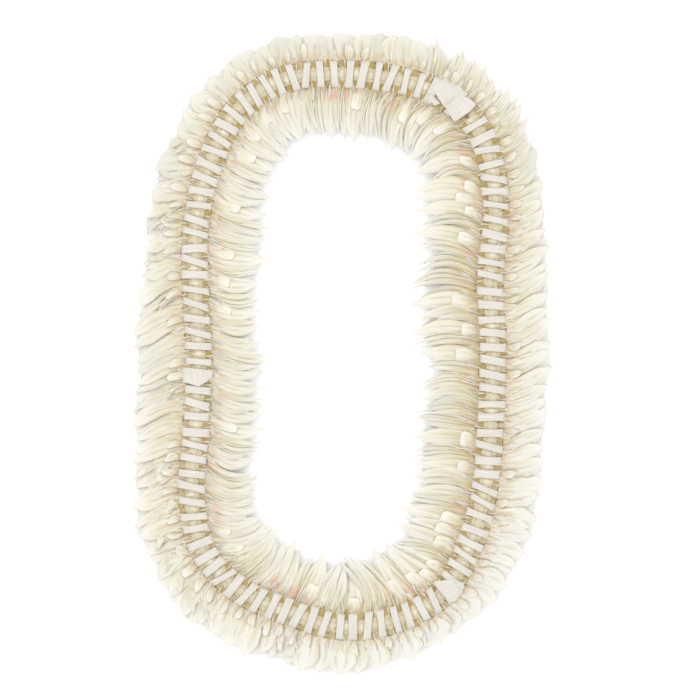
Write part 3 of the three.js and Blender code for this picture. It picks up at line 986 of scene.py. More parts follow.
def ruffles(bloom):
    """A wavy petal, and five small ones that lie scattered on it."""
    reach = bloom.tip - ROOT
    made = [outer_petal(
        bloom, "diamond", (ROOT, bloom.tip), 5.6 * bloom.spread,
        (0, bloom.bend, bloom.end + vary(3)), (11.6, 12.6, 7.0), pleat=0.8, wavy=2.5)]
    for step in range(len(RUFFLE_STARTS)):
        start = ROOT + RUFFLE_STARTS[step] + vary(1.0)
        drift = (start - ROOT) / reach * bloom.end
        made.append(outer_petal(
            bloom, RUFFLE_KINDS[step], (start, min(bloom.tip + 1.5, start + 12 + vary(3))), 3.9 + vary(1.1),
            (0.6 * drift + vary(3.5), drift + vary(3.5), drift + 0.5 * bloom.end + vary(5.5)),
            (12.2 - 0.12 * (start - ROOT), 14.0 + vary(0.7) - 0.15 * (start - ROOT), 11.4 + vary(1.5)),
            curl=-0.8 if step % 2 else 0.9, pleat=0.6, roll=bloom.roll + vary(0.3),
            twist_more=vary(0.4), wavy=2.2, outline=0.6, tan=0.8, cap=0.6))
    return made


print("a crushed bloom has", 1 + len(RUFFLE_STARTS), "petals on top")

# %% Broad petals, cups and lobes, and the whole outer bloom
def broad_top(bloom):
    """One broad petal, and often a smaller one on it."""
    kind = "broad"
    if bloom.choice < read_round(POINTED, bloom.count):
        kind = "diamond"
    elif bloom.choice > 1 - read_round(BLUNT, bloom.count):
        kind = "blunt"
    large, over = bloom.large, bloom.over
    made = [outer_petal(
        bloom, kind, (ROOT, bloom.tip + over), (8.8 + over) * bloom.spread, (0, bloom.bend, bloom.end),
        (12.2, 13.8 + over, 9.2 + over), pleat=0.8 - 0.4 * large, gold=0.3, outline=0.95, tan=0.4,
        cap=0.4)]
    if draw.random() < 0.7 - 0.5 * large:
        made.append(outer_petal(
            bloom, "diamond" if bloom.choice < 0.6 else "broad",
            (ROOT, bloom.tip - 0.2 * (bloom.tip - ROOT) + vary(3)), 4.6 * bloom.spread,
            (-1, bloom.bend - 2.4 + vary(0.8), 0.8 * bloom.end - 3.6 + vary(2)), (12.2, 14.2, 11.2),
            pleat=0.6, outline=0.8, tan=0.5))
    return made


def beside_ribbon(bloom):
    """A small hollow cup on most blooms, and a thin lobe to each side of it."""
    made = []
    kind = "diamond" if POINTED_CUPS[0] < bloom.count < POINTED_CUPS[1] else "cup"
    if draw.random() < 0.7:
        made.append(outer_petal(
            bloom, kind, (ROOT - 0.3, ROOT + min(11, 0.6 * (bloom.tip - ROOT)) + vary(2)), 3.1 + vary(0.8),
            (0, vary(0.8), 0.15 * bloom.end + vary(1.8)), (12.3, 14.6, 13.6), curl=-0.9, roll=0.15,
            gold=0.6, blush=bloom.blush + 0.25, outline=1.1, tan=1.0, cap=1.0,
            tone=max(0.5, -0.6 * bloom.white)))
    for sign in (1, -1):
        made.append(outer_petal(
            bloom, "lobe", (ROOT - 0.3, ROOT + 9 + vary(3)), 1.3 + vary(0.4),
            (1.5 * sign, 3.2 * sign + vary(0.8), 3.4 * sign + 0.1 * bloom.end + vary(1.8)),
            (12.0, 14.1, 13.0), curl=1.0, gold=0.5, outline=0.7, tan=1.0, cap=1.0))
    return made


def outer_bloom(count):
    """The shorter and broader petals that point out of the loop."""
    bloom = outer_place(count)
    made = outer_below(bloom)
    if bloom.spiked:
        made += spears(bloom)
    elif draw.random() < read_round(RUFFLED, bloom.count):
        made += ruffles(bloom)
    else:
        made += broad_top(bloom)
    return made + beside_ribbon(bloom)


print("cups are pointed between the counts", POINTED_CUPS)

# %% [markdown]
# ## What lies between two turns
# Between two turns of ribbon one looks past the bead of tubes into a golden hollow on each side of it. A
# hollow is a small petal laid crosswise and coloured olive, partly the flowers' own colour and partly a
# painted shade of the hollow, with a thin strand along its edges. A few cut ends and crumbs of flower lie
# on the bead, and there are some brown ones beside the flap at the join. They are all lobes, so the same
# tree lays them.

# %% Hollows, strands and crumbs
# How olive the hollows are round the loop, partly the flowers' own colour and partly a painted shade.
HOLLOW_OLIVE_AND_SHADE = (1.15, 1.1, 0.9, 0.85, 0.85, 0.85, 0.9, 0.9, 0.9, 0.9, 0.95, 1.0, 1.1)
# At which count the brown bits lie, and how many there are.
BROWN_BITS = 101.9
BROWN_PIECES = 7
# A crumb takes one of these: 0 is cream, 1 is golden, and above 1 it turns brown.
CRUMB_GOLD = (0.0, 0.2, 0.8, 1.4)


def hollow(count, side):
    """The hollow on one side of the bead, olive partly as the flowers are and partly as a painted shade, and
    the strands along its two edges.
    """
    far = 9.8 + 3.0 * draw.random()
    made = [petal(
        count, side, "long", (4.2, far), 2.0 + vary(0.4), (0, vary(0.4), vary(0.8)), (13.1, 12.9, 12.0),
        roll=vary(0.2), curl=-0.9, pleat=0.0,
        olive=read_round(HOLLOW_OLIVE_AND_SHADE, count) - 0.15 * side + vary(0.2), outline=0.3)]
    for edge in (1, -1):
        if draw.random() < 0.3:
            continue
        made.append(petal(
            count, side, "lobe", (3.4 + draw.random(), far - 0.8 + 2.2 * draw.random()),
            0.6 + 0.25 * draw.random(), (1.9 * edge, 1.8 * edge + vary(0.3), 1.0 * edge + vary(0.7)),
            (14.2, 13.8, 12.4 + vary(0.3)), roll=vary(0.3), curl=1.2, pleat=0.0, gold=0.6,
            tone=draw.random(), outline=0.7, tan=0.6))
    return made


def brown_bit(count):
    """A cut brown end beside the flap at the join. Its place is reckoned from the gap's own count."""
    along = (BROWN_BITS - count) * PITCH / MM + vary(1.3)
    across = -2.5 + vary(3.5)
    return petal(
        count, 1, "lobe", (across - 1.5, across + 1.2), 0.7, (along, along + vary(1.5), along + vary(2.5)),
        (15.8, 16.6, 16.0), roll=vary(0.5), curl=1.2, pleat=0.0, gold=2.0, outline=0.0)


def crumb(count):
    """A crumb on the bead, lower the further it is from the middle."""
    along = vary(2.0)
    across = vary(7.0)
    return petal(
        count, 1, "lobe", (across - 1.1 - draw.random(), across + 1.1 + draw.random()),
        0.3 + 0.35 * draw.random(), (along, along + vary(0.8), along + vary(2.0)),
        (15.5 - 0.04 * across ** 2,) * 3, roll=vary(0.3), curl=1.2, pleat=0.0,
        gold=CRUMB_GOLD[draw.integers(0, 4)], outline=0.5, tan=1.0)


def gap_bits(count):
    """Everything that lies between two turns of ribbon."""
    made = hollow(count, 1) + hollow(count, -1)
    if draw.random() < 0.6:
        start = vary(1.5)
        made.append(petal(
            count, 1, "lobe", (start, start + 1.2), 0.45, (1.5, 1.6, 1.7), (15.3, 15.3, 15.2), roll=0.0,
            curl=1.2, pleat=0.0, olive=1.0, outline=0.6))
    if abs(count - BROWN_BITS) < 0.5:
        made += [brown_bit(count) for _ in range(BROWN_PIECES)]
    return made + [crumb(count) for _ in range(draw.integers(0, 3))]


print("brown bits at the count", BROWN_BITS)

# %% All petals, bunch by bunch
# A bloom leaves the spine just past its turn of ribbon, and a gap lies half way to the next one.
BLOOM_OFFSET = 0.12
GAP_OFFSET = 0.5


def petals_in(bunch):
    first = bunch * PAIRS_PER_BUNCH
    made = []
    for k in range(PAIRS_PER_BUNCH):
        made += inner_bloom(first + k + BLOOM_OFFSET)
        made += outer_bloom(first + k + BLOOM_OFFSET)
    for k in range(PAIRS_PER_BUNCH):
        made += gap_bits(first + k + GAP_OFFSET)
    return made


petals_of_bunch = [petals_in(bunch) for bunch in range(BUNCHES)]
print(sum(map(len, petals_of_bunch)), "petals in", BUNCHES, "bunches")

# %% [markdown]
# ## From points to petals
# The points of one bunch become a small mesh of loose vertices with the numbers as attributes. The tree
# is put on it as a modifier, its inputs are set by their identifiers, and the evaluated result is taken
# as a plain mesh, so nothing live is left.

# %% Laying the petals
# The finish reads these from the laid petals. The other values are spent once the tree has run.
PAINTED = ("tone", "blush", "gold", "outline", "tan", "cap", "olive")
BLANK_VALUES = ("s", "t", "under", "wide", "fold")


def petal_points(name, petals):
    """A mesh of loose vertices, one to a petal, with the petal's numbers as attributes."""
    mesh = bpy.data.meshes.new(name)
    mesh.from_pydata([tuple(p["origin"]) for p in petals], [], [])
    for key in petals[0]:
        if key in ("origin", "out", "side"):
            data = mesh.attributes.new(key, "FLOAT_VECTOR", "POINT").data
            data.foreach_set("vector", np.array([p[key] for p in petals], np.float32).ravel())
        elif key == "kind":
            data = mesh.attributes.new(key, "INT", "POINT").data
            data.foreach_set("value", np.array([p[key] for p in petals], np.int32))
        else:
            data = mesh.attributes.new(key, "FLOAT", "POINT").data
            data.foreach_set("value", np.array([p[key] for p in petals], np.float32))
    return mesh


def laid_petals(name, petals):
    points = bpy.data.objects.new(name, petal_points(name, petals))
    bpy.context.scene.collection.objects.link(points)
    modifier = points.modifiers.new("lay", "NODES")
    modifier.node_group = lay_petals
    modifier[petal_inputs["Thickness"]] = PETAL_THICKNESS
    modifier[petal_inputs["Flutter"]] = FLUTTER
    modifier[petal_inputs["Raggedness"]] = RAGGEDNESS
    evaluated = points.evaluated_get(bpy.context.evaluated_depsgraph_get())
    plain = bpy.data.meshes.new_from_object(evaluated)
    bpy.data.objects.remove(points)
    carried = [a.name for a in plain.attributes if a.name in petals[0] or a.name in BLANK_VALUES]
    for key in carried:
        if key not in PAINTED:
            plain.attributes.remove(plain.attributes[key])
    return plain


test = laid_petals("first_bunch", petals_of_bunch[0])
print("bunch 1:", len(test.polygons), "faces, attributes", [a.name for a in test.attributes][:8])

# %% [markdown]
# ## The flower tubes
# Under the ribbon the blossoms' tubes lie lengthwise, side by side. Three fat ones along the middle bulge
# up between the turns of ribbon like a string of beads, and thinner ones fill the shoulders and the
# underside. Each tube is a line of points with a radius at each, and a second small tree sweeps a circle
# along it, as one would sweep any pipe along a path. Its finish reads one value: 1 is a golden hollow, its
# gold partly the tubes' own and partly a painted shade, values between give the lower tubes a lighter
# painted shade, 0 is plain, and below 0 is a painted highlight on the top of a bead.

# %% Tube material
def tube_material():
    material, tree, shader = new_material("flower_tube")
    coordinates = tree.nodes.new("ShaderNodeTexCoord")
    tube_shading = painted(tree, "tube_shading")
    group = tree.nodes.new("ShaderNodeGroup")
    group.node_tree = streaks
    bigger = tree.nodes.new("ShaderNodeVectorMath")
    bigger.operation = "SCALE"
    bigger.inputs["Scale"].default_value = 180.0
    tree.links.new(coordinates.outputs["Object"], bigger.inputs[0])
    tree.links.new(bigger.outputs[0], group.inputs["Vector"])
    tree.links.new(tube_shading.socket, group.inputs["Seed"])
    group.inputs["Lines"].default_value = 4.0
    streak, blotch = Value(tree, group.outputs["Streak"]), Value(tree, group.outputs["Blotch"])
    # Painted shade, deepening from the lower tubes to the gold-brown hollows, whose gold is partly the tubes'
    # own, and a painted highlight on the top of a bead.
    colour = mixed(tree, between(tube_shading, 0.0, 0.5), "#b2a786", "#af9b66")
    colour = mixed(tree, between(tube_shading, 0.5, 1.0), colour, "#917121")
    colour = mixed(tree, between(tube_shading, -0.5, -1.0) * 0.8, colour, "#d0c9ae")
    colour = mixed(tree, between(streak, 0.5, 0.75) * 0.3, colour, "#a29050")
    colour = mixed(tree, between(blotch, 0.58, 0.75) * 0.25, colour, "#846421")
    tree.links.new(colour, shader.inputs["Base Color"])
    roughness = 0.5 + between(blotch, 0.3, 0.7) * 0.15
    tree.links.new(roughness.socket, shader.inputs["Roughness"])
    bump = tree.nodes.new("ShaderNodeBump")
    bump.inputs["Strength"].default_value = 0.4
    bump.inputs["Distance"].default_value = 0.3 * MM
    tree.links.new(streak.socket, bump.inputs["Height"])
    tree.links.new(bump.outputs[0], shader.inputs["Normal"])
    shader.inputs["Subsurface Weight"].default_value = 0.1
    shader.inputs["Subsurface Scale"].default_value = 1.0 * MM
    shader.inputs["Specular IOR Level"].default_value = 0.35
    return material


flower_tube = tube_material()
print("tube material with", len(flower_tube.node_tree.nodes), "nodes")

# %% Tube tree
TUBE_SIDES = 10


def tube_tree(material):
    tree = bpy.data.node_groups.new("sweep_tubes", "GeometryNodeTree")
    tree.interface.new_socket("Geometry", in_out="INPUT", socket_type="NodeSocketGeometry")
    sides = tree.interface.new_socket("Sides", in_out="INPUT", socket_type="NodeSocketInt")
    sides.default_value = TUBE_SIDES
    tree.interface.new_socket("Geometry", in_out="OUTPUT", socket_type="NodeSocketGeometry")
    nodes, links = tree.nodes, tree.links
    inputs, output = nodes.new("NodeGroupInput"), nodes.new("NodeGroupOutput")
    curve = nodes.new("GeometryNodeMeshToCurve")
    links.new(inputs.outputs["Geometry"], curve.inputs[0])
    circle = nodes.new("GeometryNodeCurvePrimitiveCircle")
    circle.inputs["Radius"].default_value = 1.0
    links.new(inputs.outputs["Sides"], circle.inputs["Resolution"])
    sweep = nodes.new("GeometryNodeCurveToMesh")
    sweep.inputs["Fill Caps"].default_value = True
    links.new(curve.outputs[0], sweep.inputs["Curve"])
    links.new(circle.outputs[0], sweep.inputs["Profile Curve"])
    links.new(named(tree, "thick").socket, sweep.inputs["Scale"])
    smooth = nodes.new("GeometryNodeSetShadeSmooth")
    links.new(sweep.outputs[0], smooth.inputs[0])
    real = nodes.new("GeometryNodeRealizeInstances")
    links.new(smooth.outputs[0], real.inputs[0])
    finish = nodes.new("GeometryNodeSetMaterial")
    finish.inputs["Material"].default_value = material
    links.new(real.outputs[0], finish.inputs["Geometry"])
    links.new(finish.outputs[0], output.inputs[0])
    return tree, {"Sides": sides.identifier}


sweep_tubes, tube_inputs = tube_tree(flower_tube)
print("tube tree with", len(sweep_tubes.nodes), "nodes")

# %% Tube lines
# Offset across, height, radius under the ribbon, radius between turns, and painted shade from 0 to 1, all but
# the last in mm.
TUBES = (
    (0.0, 11.7, 2.6, 3.7, 0.0),
    (-2.9, 11.0, 2.3, 3.1, 0.15),
    (2.9, 11.0, 2.3, 3.1, 0.15),
    (-6.3, 9.9, 2.2, 1.9, 0.9),
    (6.3, 9.9, 2.2, 1.9, 0.85),
    (-7.9, 10.6, 1.3, 1.8, 1.0),
    (7.9, 10.6, 1.3, 1.8, 1.0),
    (-2.6, 7.8, 2.3, 2.6, 0.5),
    (2.6, 7.8, 2.3, 2.6, 0.5),
)
# Points from one pair to the next, and how far a bunch's tubes stop short of the next bunch's, in pairs.
STEPS = 8
END_GAP = 0.015


def tube_lines(first):
    """The tubes of a bunch, as rows of points that follow the spine."""
    points, edges, thick, tube_shading = [], [], [], []
    for number, (across, height, tight, loose, hollow_shade) in enumerate(TUBES):
        start = len(points)
        for k in range(PAIRS_PER_BUNCH * STEPS + 1):
            count = first + k / STEPS
            count += END_GAP * (k == 0) - END_GAP * (k == PAIRS_PER_BUNCH * STEPS)
            origin, forward, out = spine_at(count)
            bulge = math.sin(math.pi * (count % 1)) ** 0.8
            sway = 0.35 * math.sin(2.1 * count + number) + 0.25 * math.sin(9.7 * count + 2 * number)
            points.append(tuple(origin + out * (across + sway) * MM + UP * height * MM))
            lumps = 1 + 0.07 * math.sin(8.3 * count + 5 * number) + 0.05 * math.sin(21.0 * count + number)
            thick.append((tight + (loose - tight) * bulge) * lumps * MM)
            # Half way between turns the middle tube gets a painted highlight and the hollows their darkest
            # painted shade.
            pocket = math.exp(-((count % 1 - 0.5) / 0.22) ** 2)
            if hollow_shade == 0:
                tube_shading.append(-pocket * (0.6 + 0.4 * math.sin(5.1 * count)))
            else:
                tube_shading.append(hollow_shade * (0.45 + 0.55 * pocket) if hollow_shade > 0.8 else hollow_shade)
        edges += [(k, k + 1) for k in range(start, len(points) - 1)]
    return points, edges, thick, tube_shading


def swept_tubes(name, first):
    points, edges, thick, tube_shading = tube_lines(first)
    mesh = bpy.data.meshes.new(name)
    mesh.from_pydata(points, edges, [])
    for key, values in (("thick", thick), ("tube_shading", tube_shading)):
        mesh.attributes.new(key, "FLOAT", "POINT").data.foreach_set("value", np.array(values, np.float32))
    lines = bpy.data.objects.new(name, mesh)
    bpy.context.scene.collection.objects.link(lines)
    modifier = lines.modifiers.new("sweep", "NODES")
    modifier.node_group = sweep_tubes
    modifier[tube_inputs["Sides"]] = TUBE_SIDES
    evaluated = lines.evaluated_get(bpy.context.evaluated_depsgraph_get())
    plain = bpy.data.meshes.new_from_object(evaluated)
    bpy.data.objects.remove(lines)
    return plain


print("tube rows:", len(TUBES))

# %% [markdown]
# ## Bunches
# A bunch's tubes and petals are one piece, because on the real lei they are the same flowers. It stands
# for the CAD node with the same number and rides on the only body there is.

# %% Building the bunches
def joined_piece(name, meshes):
    """One object at the origin from several plain meshes."""
    made = []
    for number, mesh in enumerate(meshes):
        part = bpy.data.objects.new(f"{name}_{number}", mesh)
        bpy.context.scene.collection.objects.link(part)
        made.append(part)
    bpy.ops.object.select_all(action="DESELECT")
    for part in made:
        part.select_set(True)
    bpy.context.view_layer.objects.active = made[0]
    bpy.ops.object.join()
    made[0].name = name
    return made[0]


bunch_faces = 0
for b in range(BUNCHES):
    piece = joined_piece(f"blossoms_{b + 1:02d}", [
        laid_petals("petals", petals_of_bunch[b]),
        swept_tubes("tubes", b * PAIRS_PER_BUNCH),
    ])
    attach(piece, "root")
    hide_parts(f"blossom_bunch_{b + 1:02d}")
    bunch_faces += len(piece.data.polygons)
print("bunches:", bunch_faces, "faces")

# %% [markdown]
# ## The ribbon
# The ribbon is a strip of thin white cloth, about as wide as a finger, gathered into a narrow band where
# it passes over the spine and a little wider at the edges. Modelling it as what it is, one long strip
# wound round and round, gives the slanted crossings on the underside for free. Each turn is a row of
# stations, and each station is seven points across the cloth, with creases that run along it. The finish
# is a fine weave in the strip's own UV map, with soiled patches, and long pale and dark lines along the
# strip that are a painted highlight and a painted shade of its creases.

# %% Ribbon material
# From rib to rib along the strip, and from thread to thread across it, in millimetres.
RIB_PITCH = 1.1
THREAD_PITCH = 0.95


def ribbon_material():
    material, tree, shader = new_material("woven_ribbon")
    uv = tree.nodes.new("ShaderNodeUVMap")
    uv.uv_map = "weave_uv"
    parts = tree.nodes.new("ShaderNodeSeparateXYZ")
    tree.links.new(uv.outputs[0], parts.inputs[0])
    across, along = Value(tree, parts.outputs["X"]), Value(tree, parts.outputs["Y"])
    rib = (along * (2 * math.pi / RIB_PITCH)).call("SINE") * 0.5 + 0.5
    thread = (across * (2 * math.pi / THREAD_PITCH)).call("SINE") * 0.5 + 0.5
    weave = rib * 0.5 + thread * 0.5
    coordinates = tree.nodes.new("ShaderNodeTexCoord")
    noise = tree.nodes.new("ShaderNodeTexNoise")
    noise.inputs["Scale"].default_value = 160.0
    noise.inputs["Detail"].default_value = 3.0
    tree.links.new(coordinates.outputs["Object"], noise.inputs["Vector"])
    soil = Value(tree, noise.outputs[0])
    colour = mixed(tree, weave, "#b2ada2", "#c0bbb0")
    colour = mixed(tree, between(soil, 0.48, 0.75) * 0.35, colour, "#afa794")
    # Pale and dark lines along the strip: a painted highlight and a painted shade of its creases.
    where = tree.nodes.new("ShaderNodeCombineXYZ")
    tree.links.new((across * 1.3).socket, where.inputs[0])
    tree.links.new((along * 0.06).socket, where.inputs[1])
    lines = tree.nodes.new("ShaderNodeTexNoise")
    lines.inputs["Scale"].default_value = 1.0
    lines.inputs["Detail"].default_value = 2.0
    tree.links.new(where.outputs[0], lines.inputs["Vector"])
    crease = Value(tree, lines.outputs[0])
    colour = mixed(tree, between(crease, 0.52, 0.66) * 0.4, colour, "#a39e8c")
    colour = mixed(tree, between(crease, 0.46, 0.34) * 0.3, colour, "#d1cfc6")
    tree.links.new(colour, shader.inputs["Base Color"])
    roughness = 0.9 - weave * 0.12
    tree.links.new(roughness.socket, shader.inputs["Roughness"])
    bump = tree.nodes.new("ShaderNodeBump")
    bump.inputs["Strength"].default_value = 0.3
    bump.inputs["Distance"].default_value = 0.2 * MM
    tree.links.new((weave + soil * 0.5 - crease * 3.0).socket, bump.inputs["Height"])
    tree.links.new(bump.outputs[0], shader.inputs["Normal"])
    shader.inputs["Sheen Weight"].default_value = 0.15
    shader.inputs["Specular IOR Level"].default_value = 0.2
    return material


woven_ribbon = ribbon_material()
print("ribbon material with", len(woven_ribbon.node_tree.nodes), "nodes")

# %% Sheets of cloth
CLOTH = 0.32 * MM


def cloth_mesh(name, rows):
    """A thin closed sheet from rows of (point, normal, uv), the same number in each."""
    width = len(rows[0])
    top = [p + n * CLOTH / 2 for r in rows for p, n, uv in r]
    low = [p - n * CLOTH / 2 for r in rows for p, n, uv in r]
    uvs = [uv for r in rows for p, n, uv in r]
    shift = len(top)
    faces = []
    for i in range(len(rows) - 1):
        for j in range(width - 1):
            a = i * width + j
            quad = (a, a + width, a + width + 1, a + 1)
            faces.append(quad)
            faces.append(tuple(reversed([k + shift for k in quad])))
    rim = list(range(width))
    rim += [i * width + width - 1 for i in range(1, len(rows))]
    rim += [(len(rows) - 1) * width + j for j in range(width - 2, -1, -1)]
    rim += [i * width for i in range(len(rows) - 2, 0, -1)]
    for a, b in zip(rim, rim[1:] + rim[:1]):
        faces.append((a, b, b + shift, a + shift))
    mesh = bpy.data.meshes.new(name)
    mesh.from_pydata([tuple(v) for v in top + low], [], faces)
    layer = mesh.uv_layers.new(name="weave_uv")
    for loop in mesh.loops:
        layer.data[loop.index].uv = uvs[loop.vertex_index % shift]
    mesh.shade_smooth()
    rim_points = set(rim)
    for edge in mesh.edges:
        a, b = edge.vertices
        on_rim = a % shift in rim_points and b % shift in rim_points
        edge.use_edge_sharp = on_rim and (a < shift) == (b < shift)
    mesh.materials.append(woven_ribbon)
    return mesh


print("cloth thickness", round(CLOTH / MM, 2), "mm")

# %% One length of ribbon
# Half the width, the underside, the shoulders and the ridge of the bound spine, then one turn round it as
# pairs of how far across and how high, all in millimetres.
WIDE, LOW, SHOULDER, RIDGE = 9.35, 4.35, 13.1, 16.0
TURN = (
    (WIDE, LOW + 0.6), (WIDE + 0.15, 8.0), (WIDE, 11.6), (WIDE - 0.5, SHOULDER), (WIDE - 2.2, 14.1),
    (4.4, 15.2), (2.2, 15.8), (0, RIDGE), (-2.2, 15.8), (-4.4, 15.2), (2.2 - WIDE, 14.1),
    (0.5 - WIDE, SHOULDER), (-WIDE, 11.6), (-WIDE - 0.15, 8.0), (-WIDE, LOW + 0.6), (0.8 - WIDE, LOW),
)
# Seven points across the cloth, from one edge to the other.
ACROSS_CLOTH = (-1, -0.67, -0.33, 0, 0.33, 0.67, 1)
# The one band that is hidden under a loose end, and how far it is moved to lie there, in pairs.
TAB_BAND = 102
UNDER_THE_TAB = 0.42
# How far the strip's length goes on from one station to the next, and under the spine to the next band.
STATION_RUN = 2.2
UNDER_RUN = 14.0
ribbon_draw = np.random.default_rng(411)


def strip_rows(first, last):
    """Stations of a strip from band to band, each a row of seven points across the cloth."""
    rows, along = [], 0.0
    for band in range(first, last + 1):
        shift = UNDER_THE_TAB if band == TAB_BAND else ribbon_draw.uniform(-0.09, 0.09)
        origin, forward, out = spine_at(band + shift)
        tilt = math.radians(ribbon_draw.normal(5, 6))
        end_half = ribbon_draw.uniform(2.3, 3.1)
        waist = end_half * ribbon_draw.uniform(0.76, 0.98)
        stretch = ribbon_draw.uniform(0.96, 1.06)
        crease = ribbon_draw.uniform(-0.25, 0.25, len(ACROSS_CLOTH))
        for number, (across, height) in enumerate(TURN):
            across *= stretch
            on_top = abs(across) < WIDE - 0.4 and height > 12
            lean = -math.tan(tilt) * across if height > 11 else -math.tan(tilt) * across * 0.6
            centre = origin + out * across * MM + forward * lean * MM + UP * height * MM
            half = waist + (end_half - waist) * min(1.0, (abs(across) / WIDE) ** 2.2)
            before, after = TURN[max(0, number - 1)], TURN[min(len(TURN) - 1, number + 1)]
            way = np.array((after[0] - before[0], after[1] - before[1]))
            way /= np.linalg.norm(way)
            normal = out * way[1] - UP * way[0]
            normal /= np.linalg.norm(normal)
            row = []
            for column, t in enumerate(ACROSS_CLOTH):
                fold = crease[column] * (0.8 if on_top else 0.3)
                place = centre + forward * t * half * MM + normal * fold * MM
                row.append((place, normal, (t * half + 7.0 * band, along)))
            rows.append(row)
            along += STATION_RUN
        along += UNDER_RUN
    return rows


# The first and the last band of each length.
STRIPS = {"1": (1, 34), "2": (35, 67), "3": (68, 103)}
print("ribbon bands:", sum(b - a + 1 for a, b in STRIPS.values()))

# %% [markdown]
# ## The loose ends
# Where a length of ribbon starts or stops, its end lies open at full width over the bands, and its
# fine ribs show. Three places on the loop have such an end, and the join at the upper right has two of
# them, one over the other. Cloth takes the shape of what it lies on. So an end is drawn flat, as three
# lines across it, and then laid over the ridge by the distance from the line of the spine.

# %% Loose ends
def resampled(line, count):
    """Points spread evenly along a line of a few plan points in millimetres."""
    line = np.array(line, float)
    far = np.concatenate([[0], np.cumsum(np.linalg.norm(np.diff(line, axis=0), axis=1))])
    at = np.linspace(0, far[-1], count)
    return np.stack([np.interp(at, far, line[:, 0]), np.interp(at, far, line[:, 1])], axis=1)


# The ridge is round on top: it falls off by this much times the square of the distance.
RIDGE_FALL = 0.029


def on_ridge(plan, lift):
    """A plan point in millimetres, laid over the bound spine, and the way up from the cloth there."""
    gap = np.linalg.norm(samples[:-1, :2] / MM - plan, axis=1)
    nearest = int(np.argmin(gap))
    away = (plan - samples[nearest, :2] / MM) / max(gap[nearest], 1e-6)
    height = lift + RIDGE - RIDGE_FALL * gap[nearest] ** 2
    normal = UP + 2 * RIDGE_FALL * gap[nearest] * np.array((away[0], away[1], 0.0))
    return np.array((plan[0], plan[1], height)) * MM, normal / np.linalg.norm(normal)


# How many faces an end has along and across.
END_FACES = (12, 14)


def end_rows(near, middle, far, lift, curl):
    """A loose end through three lines across it. Its near edge may curl up."""
    lengthwise, crosswise = END_FACES
    lines = [resampled(line, crosswise + 1) for line in (near, middle, far)]
    length = np.linalg.norm(lines[2].mean(axis=0) - lines[0].mean(axis=0))
    width = np.linalg.norm(lines[1][-1] - lines[1][0])
    rows = []
    for i in range(lengthwise + 1):
        s = i / lengthwise
        row = []
        for j in range(crosswise + 1):
            plan = through(s, lines[0][j], lines[1][j], lines[2][j])
            ripple = 0.10 * math.sin(9 * s + 0.7 * j) + 0.06 * math.sin(2.2 * j)
            raised = curl * (1 - s) ** 3 + ripple
            point, normal = on_ridge(plan, lift + raised)
            row.append((point, normal, (j / crosswise * width, s * length)))
        rows.append(row)
    return rows


# Each end: its near, middle and far lines in plan millimetres, its lift and the curl of its near edge.
LOOSE_ENDS = {
    "1": [
        (
            [(61.1, 184.9), (65.0, 188.6), (70.4, 191.6)],
            [(65.4, 178.1), (72.5, 183.4), (80.6, 188.9)],
            [(70.4, 170.8), (78.0, 175.8), (86.2, 180.2)],
            0.75, 0.1,
        ),
        (
            [(57.4, 178.0), (60.6, 180.2)],
            [(60.2, 175.6), (63.6, 177.2)],
            [(62.8, 172.6), (66.8, 174.0)],
            1.2, 0.3,
        ),
    ],
    "2": [
        (
            [(-92.3, -12.7), (-103.5, -11.4), (-114.9, -10.3)],
            [(-93.2, -17.2), (-104.0, -16.8), (-116.0, -15.8)],
            [(-97.0, -20.7), (-101.9, -23.7), (-104.8, -22.8), (-109.2, -21.4), (-113.2, -21.2)],
            0.85, 0.0,
        ),
    ],
    "3": [
        (
            [(62.2, -160.4), (67.2, -166.8), (72.0, -172.9)],
            [(69.5, -159.3), (74.0, -166.0), (77.3, -173.9)],
            [(76.7, -158.6), (80.2, -162.8), (83.0, -166.6)],
            0.75, 0.1,
        ),
        (
            [(77.2, -158.9), (81.2, -165.2)],
            [(80.3, -160.0), (82.2, -165.3)],
            [(83.6, -161.2), (83.6, -165.4)],
            1.3, 0.2,
        ),
        (
            [(70.4, 172.3), (74.3, 174.7), (76.6, 177.2), (77.4, 179.7)],
            [(73.2, 167.0), (77.5, 170.5), (82.5, 174.5), (85.8, 178.0)],
            [(76.4, 161.8), (80.4, 163.3), (87.4, 168.3), (92.1, 173.3)],
            1.2, 1.1,
        ),
    ],
}
print("loose ends:", sum(map(len, LOOSE_ENDS.values())))

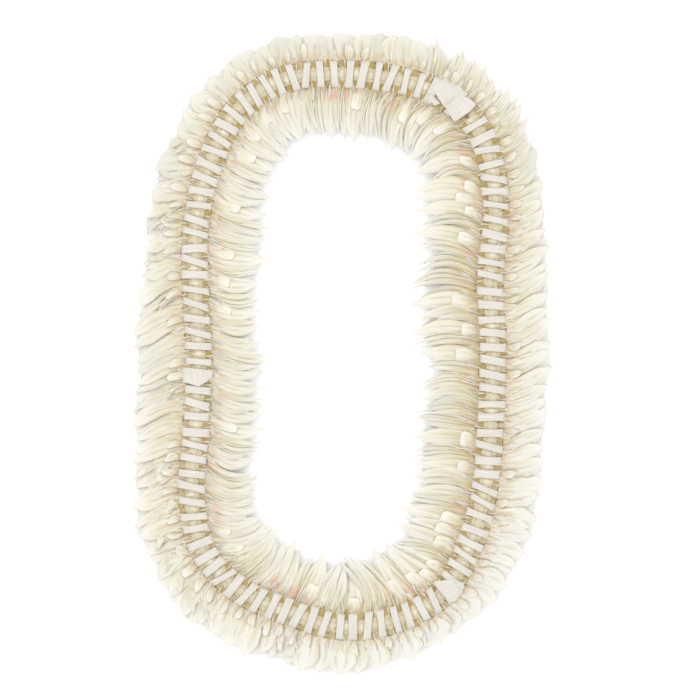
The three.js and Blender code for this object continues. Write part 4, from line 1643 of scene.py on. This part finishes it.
# %% Building the lengths of ribbon
ribbon_faces = 0
for name, (first, last) in STRIPS.items():
    meshes = [cloth_mesh("turns", strip_rows(first, last))]
    meshes += [cloth_mesh("loose_end", end_rows(*end)) for end in LOOSE_ENDS[name]]
    piece = joined_piece(f"ribbon_{name}", meshes)
    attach(piece, "root")
    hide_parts(f"binding_strip_{name}")
    ribbon_faces += len(piece.data.polygons)
print("ribbon:", ribbon_faces, "faces")

# %% [markdown]
# ## Floor and light
# The lei lies on a plain, very bright ground in even light from above, so shadows are soft and warm. A
# broad pale floor, a white surrounding and one large soft light over the table do the same.

# %% Floor and lights
HALF_FLOOR = 3
SKY_STRENGTH = 1.45
PICTURE_GAMMA = 1.4

floor_mesh = bpy.data.meshes.new("floor")
floor_corners = [(x * HALF_FLOOR, y * HALF_FLOOR, 0) for x, y in ((-1, -1), (1, -1), (1, 1), (-1, 1))]
floor_mesh.from_pydata(floor_corners, [], [(0, 1, 2, 3)])
floor = bpy.data.objects.new("floor", floor_mesh)
bpy.context.scene.collection.objects.link(floor)
floor_material, _, floor_shader = new_material("pale_floor")
floor_shader.inputs["Base Color"].default_value = rgb("#ffffff")
floor_shader.inputs["Roughness"].default_value = 0.9
floor_mesh.materials.append(floor_material)

world = bpy.data.worlds.new("studio")
world.use_nodes = True
world.node_tree.nodes["Background"].inputs["Color"].default_value = (1.0, 1.0, 1.0, 1.0)
world.node_tree.nodes["Background"].inputs["Strength"].default_value = SKY_STRENGTH
bpy.context.scene.world = world
bpy.context.scene.view_settings.view_transform = "Standard"
bpy.context.scene.view_settings.gamma = PICTURE_GAMMA


def soft_light(name, place, size, power):
    light = bpy.data.lights.new(name, "AREA")
    light.shape = "DISK"
    light.size = size
    light.energy = power
    lamp = bpy.data.objects.new(name, light)
    bpy.context.scene.collection.objects.link(lamp)
    lamp.location = place
    to_origin = -lamp.location
    lamp.rotation_euler = to_origin.to_track_quat("-Z", "Y").to_euler()
    return lamp


soft_light("over_table", (-0.4, 0.7, 1.8), 1.6, 11.0)
print("floor and light ready")
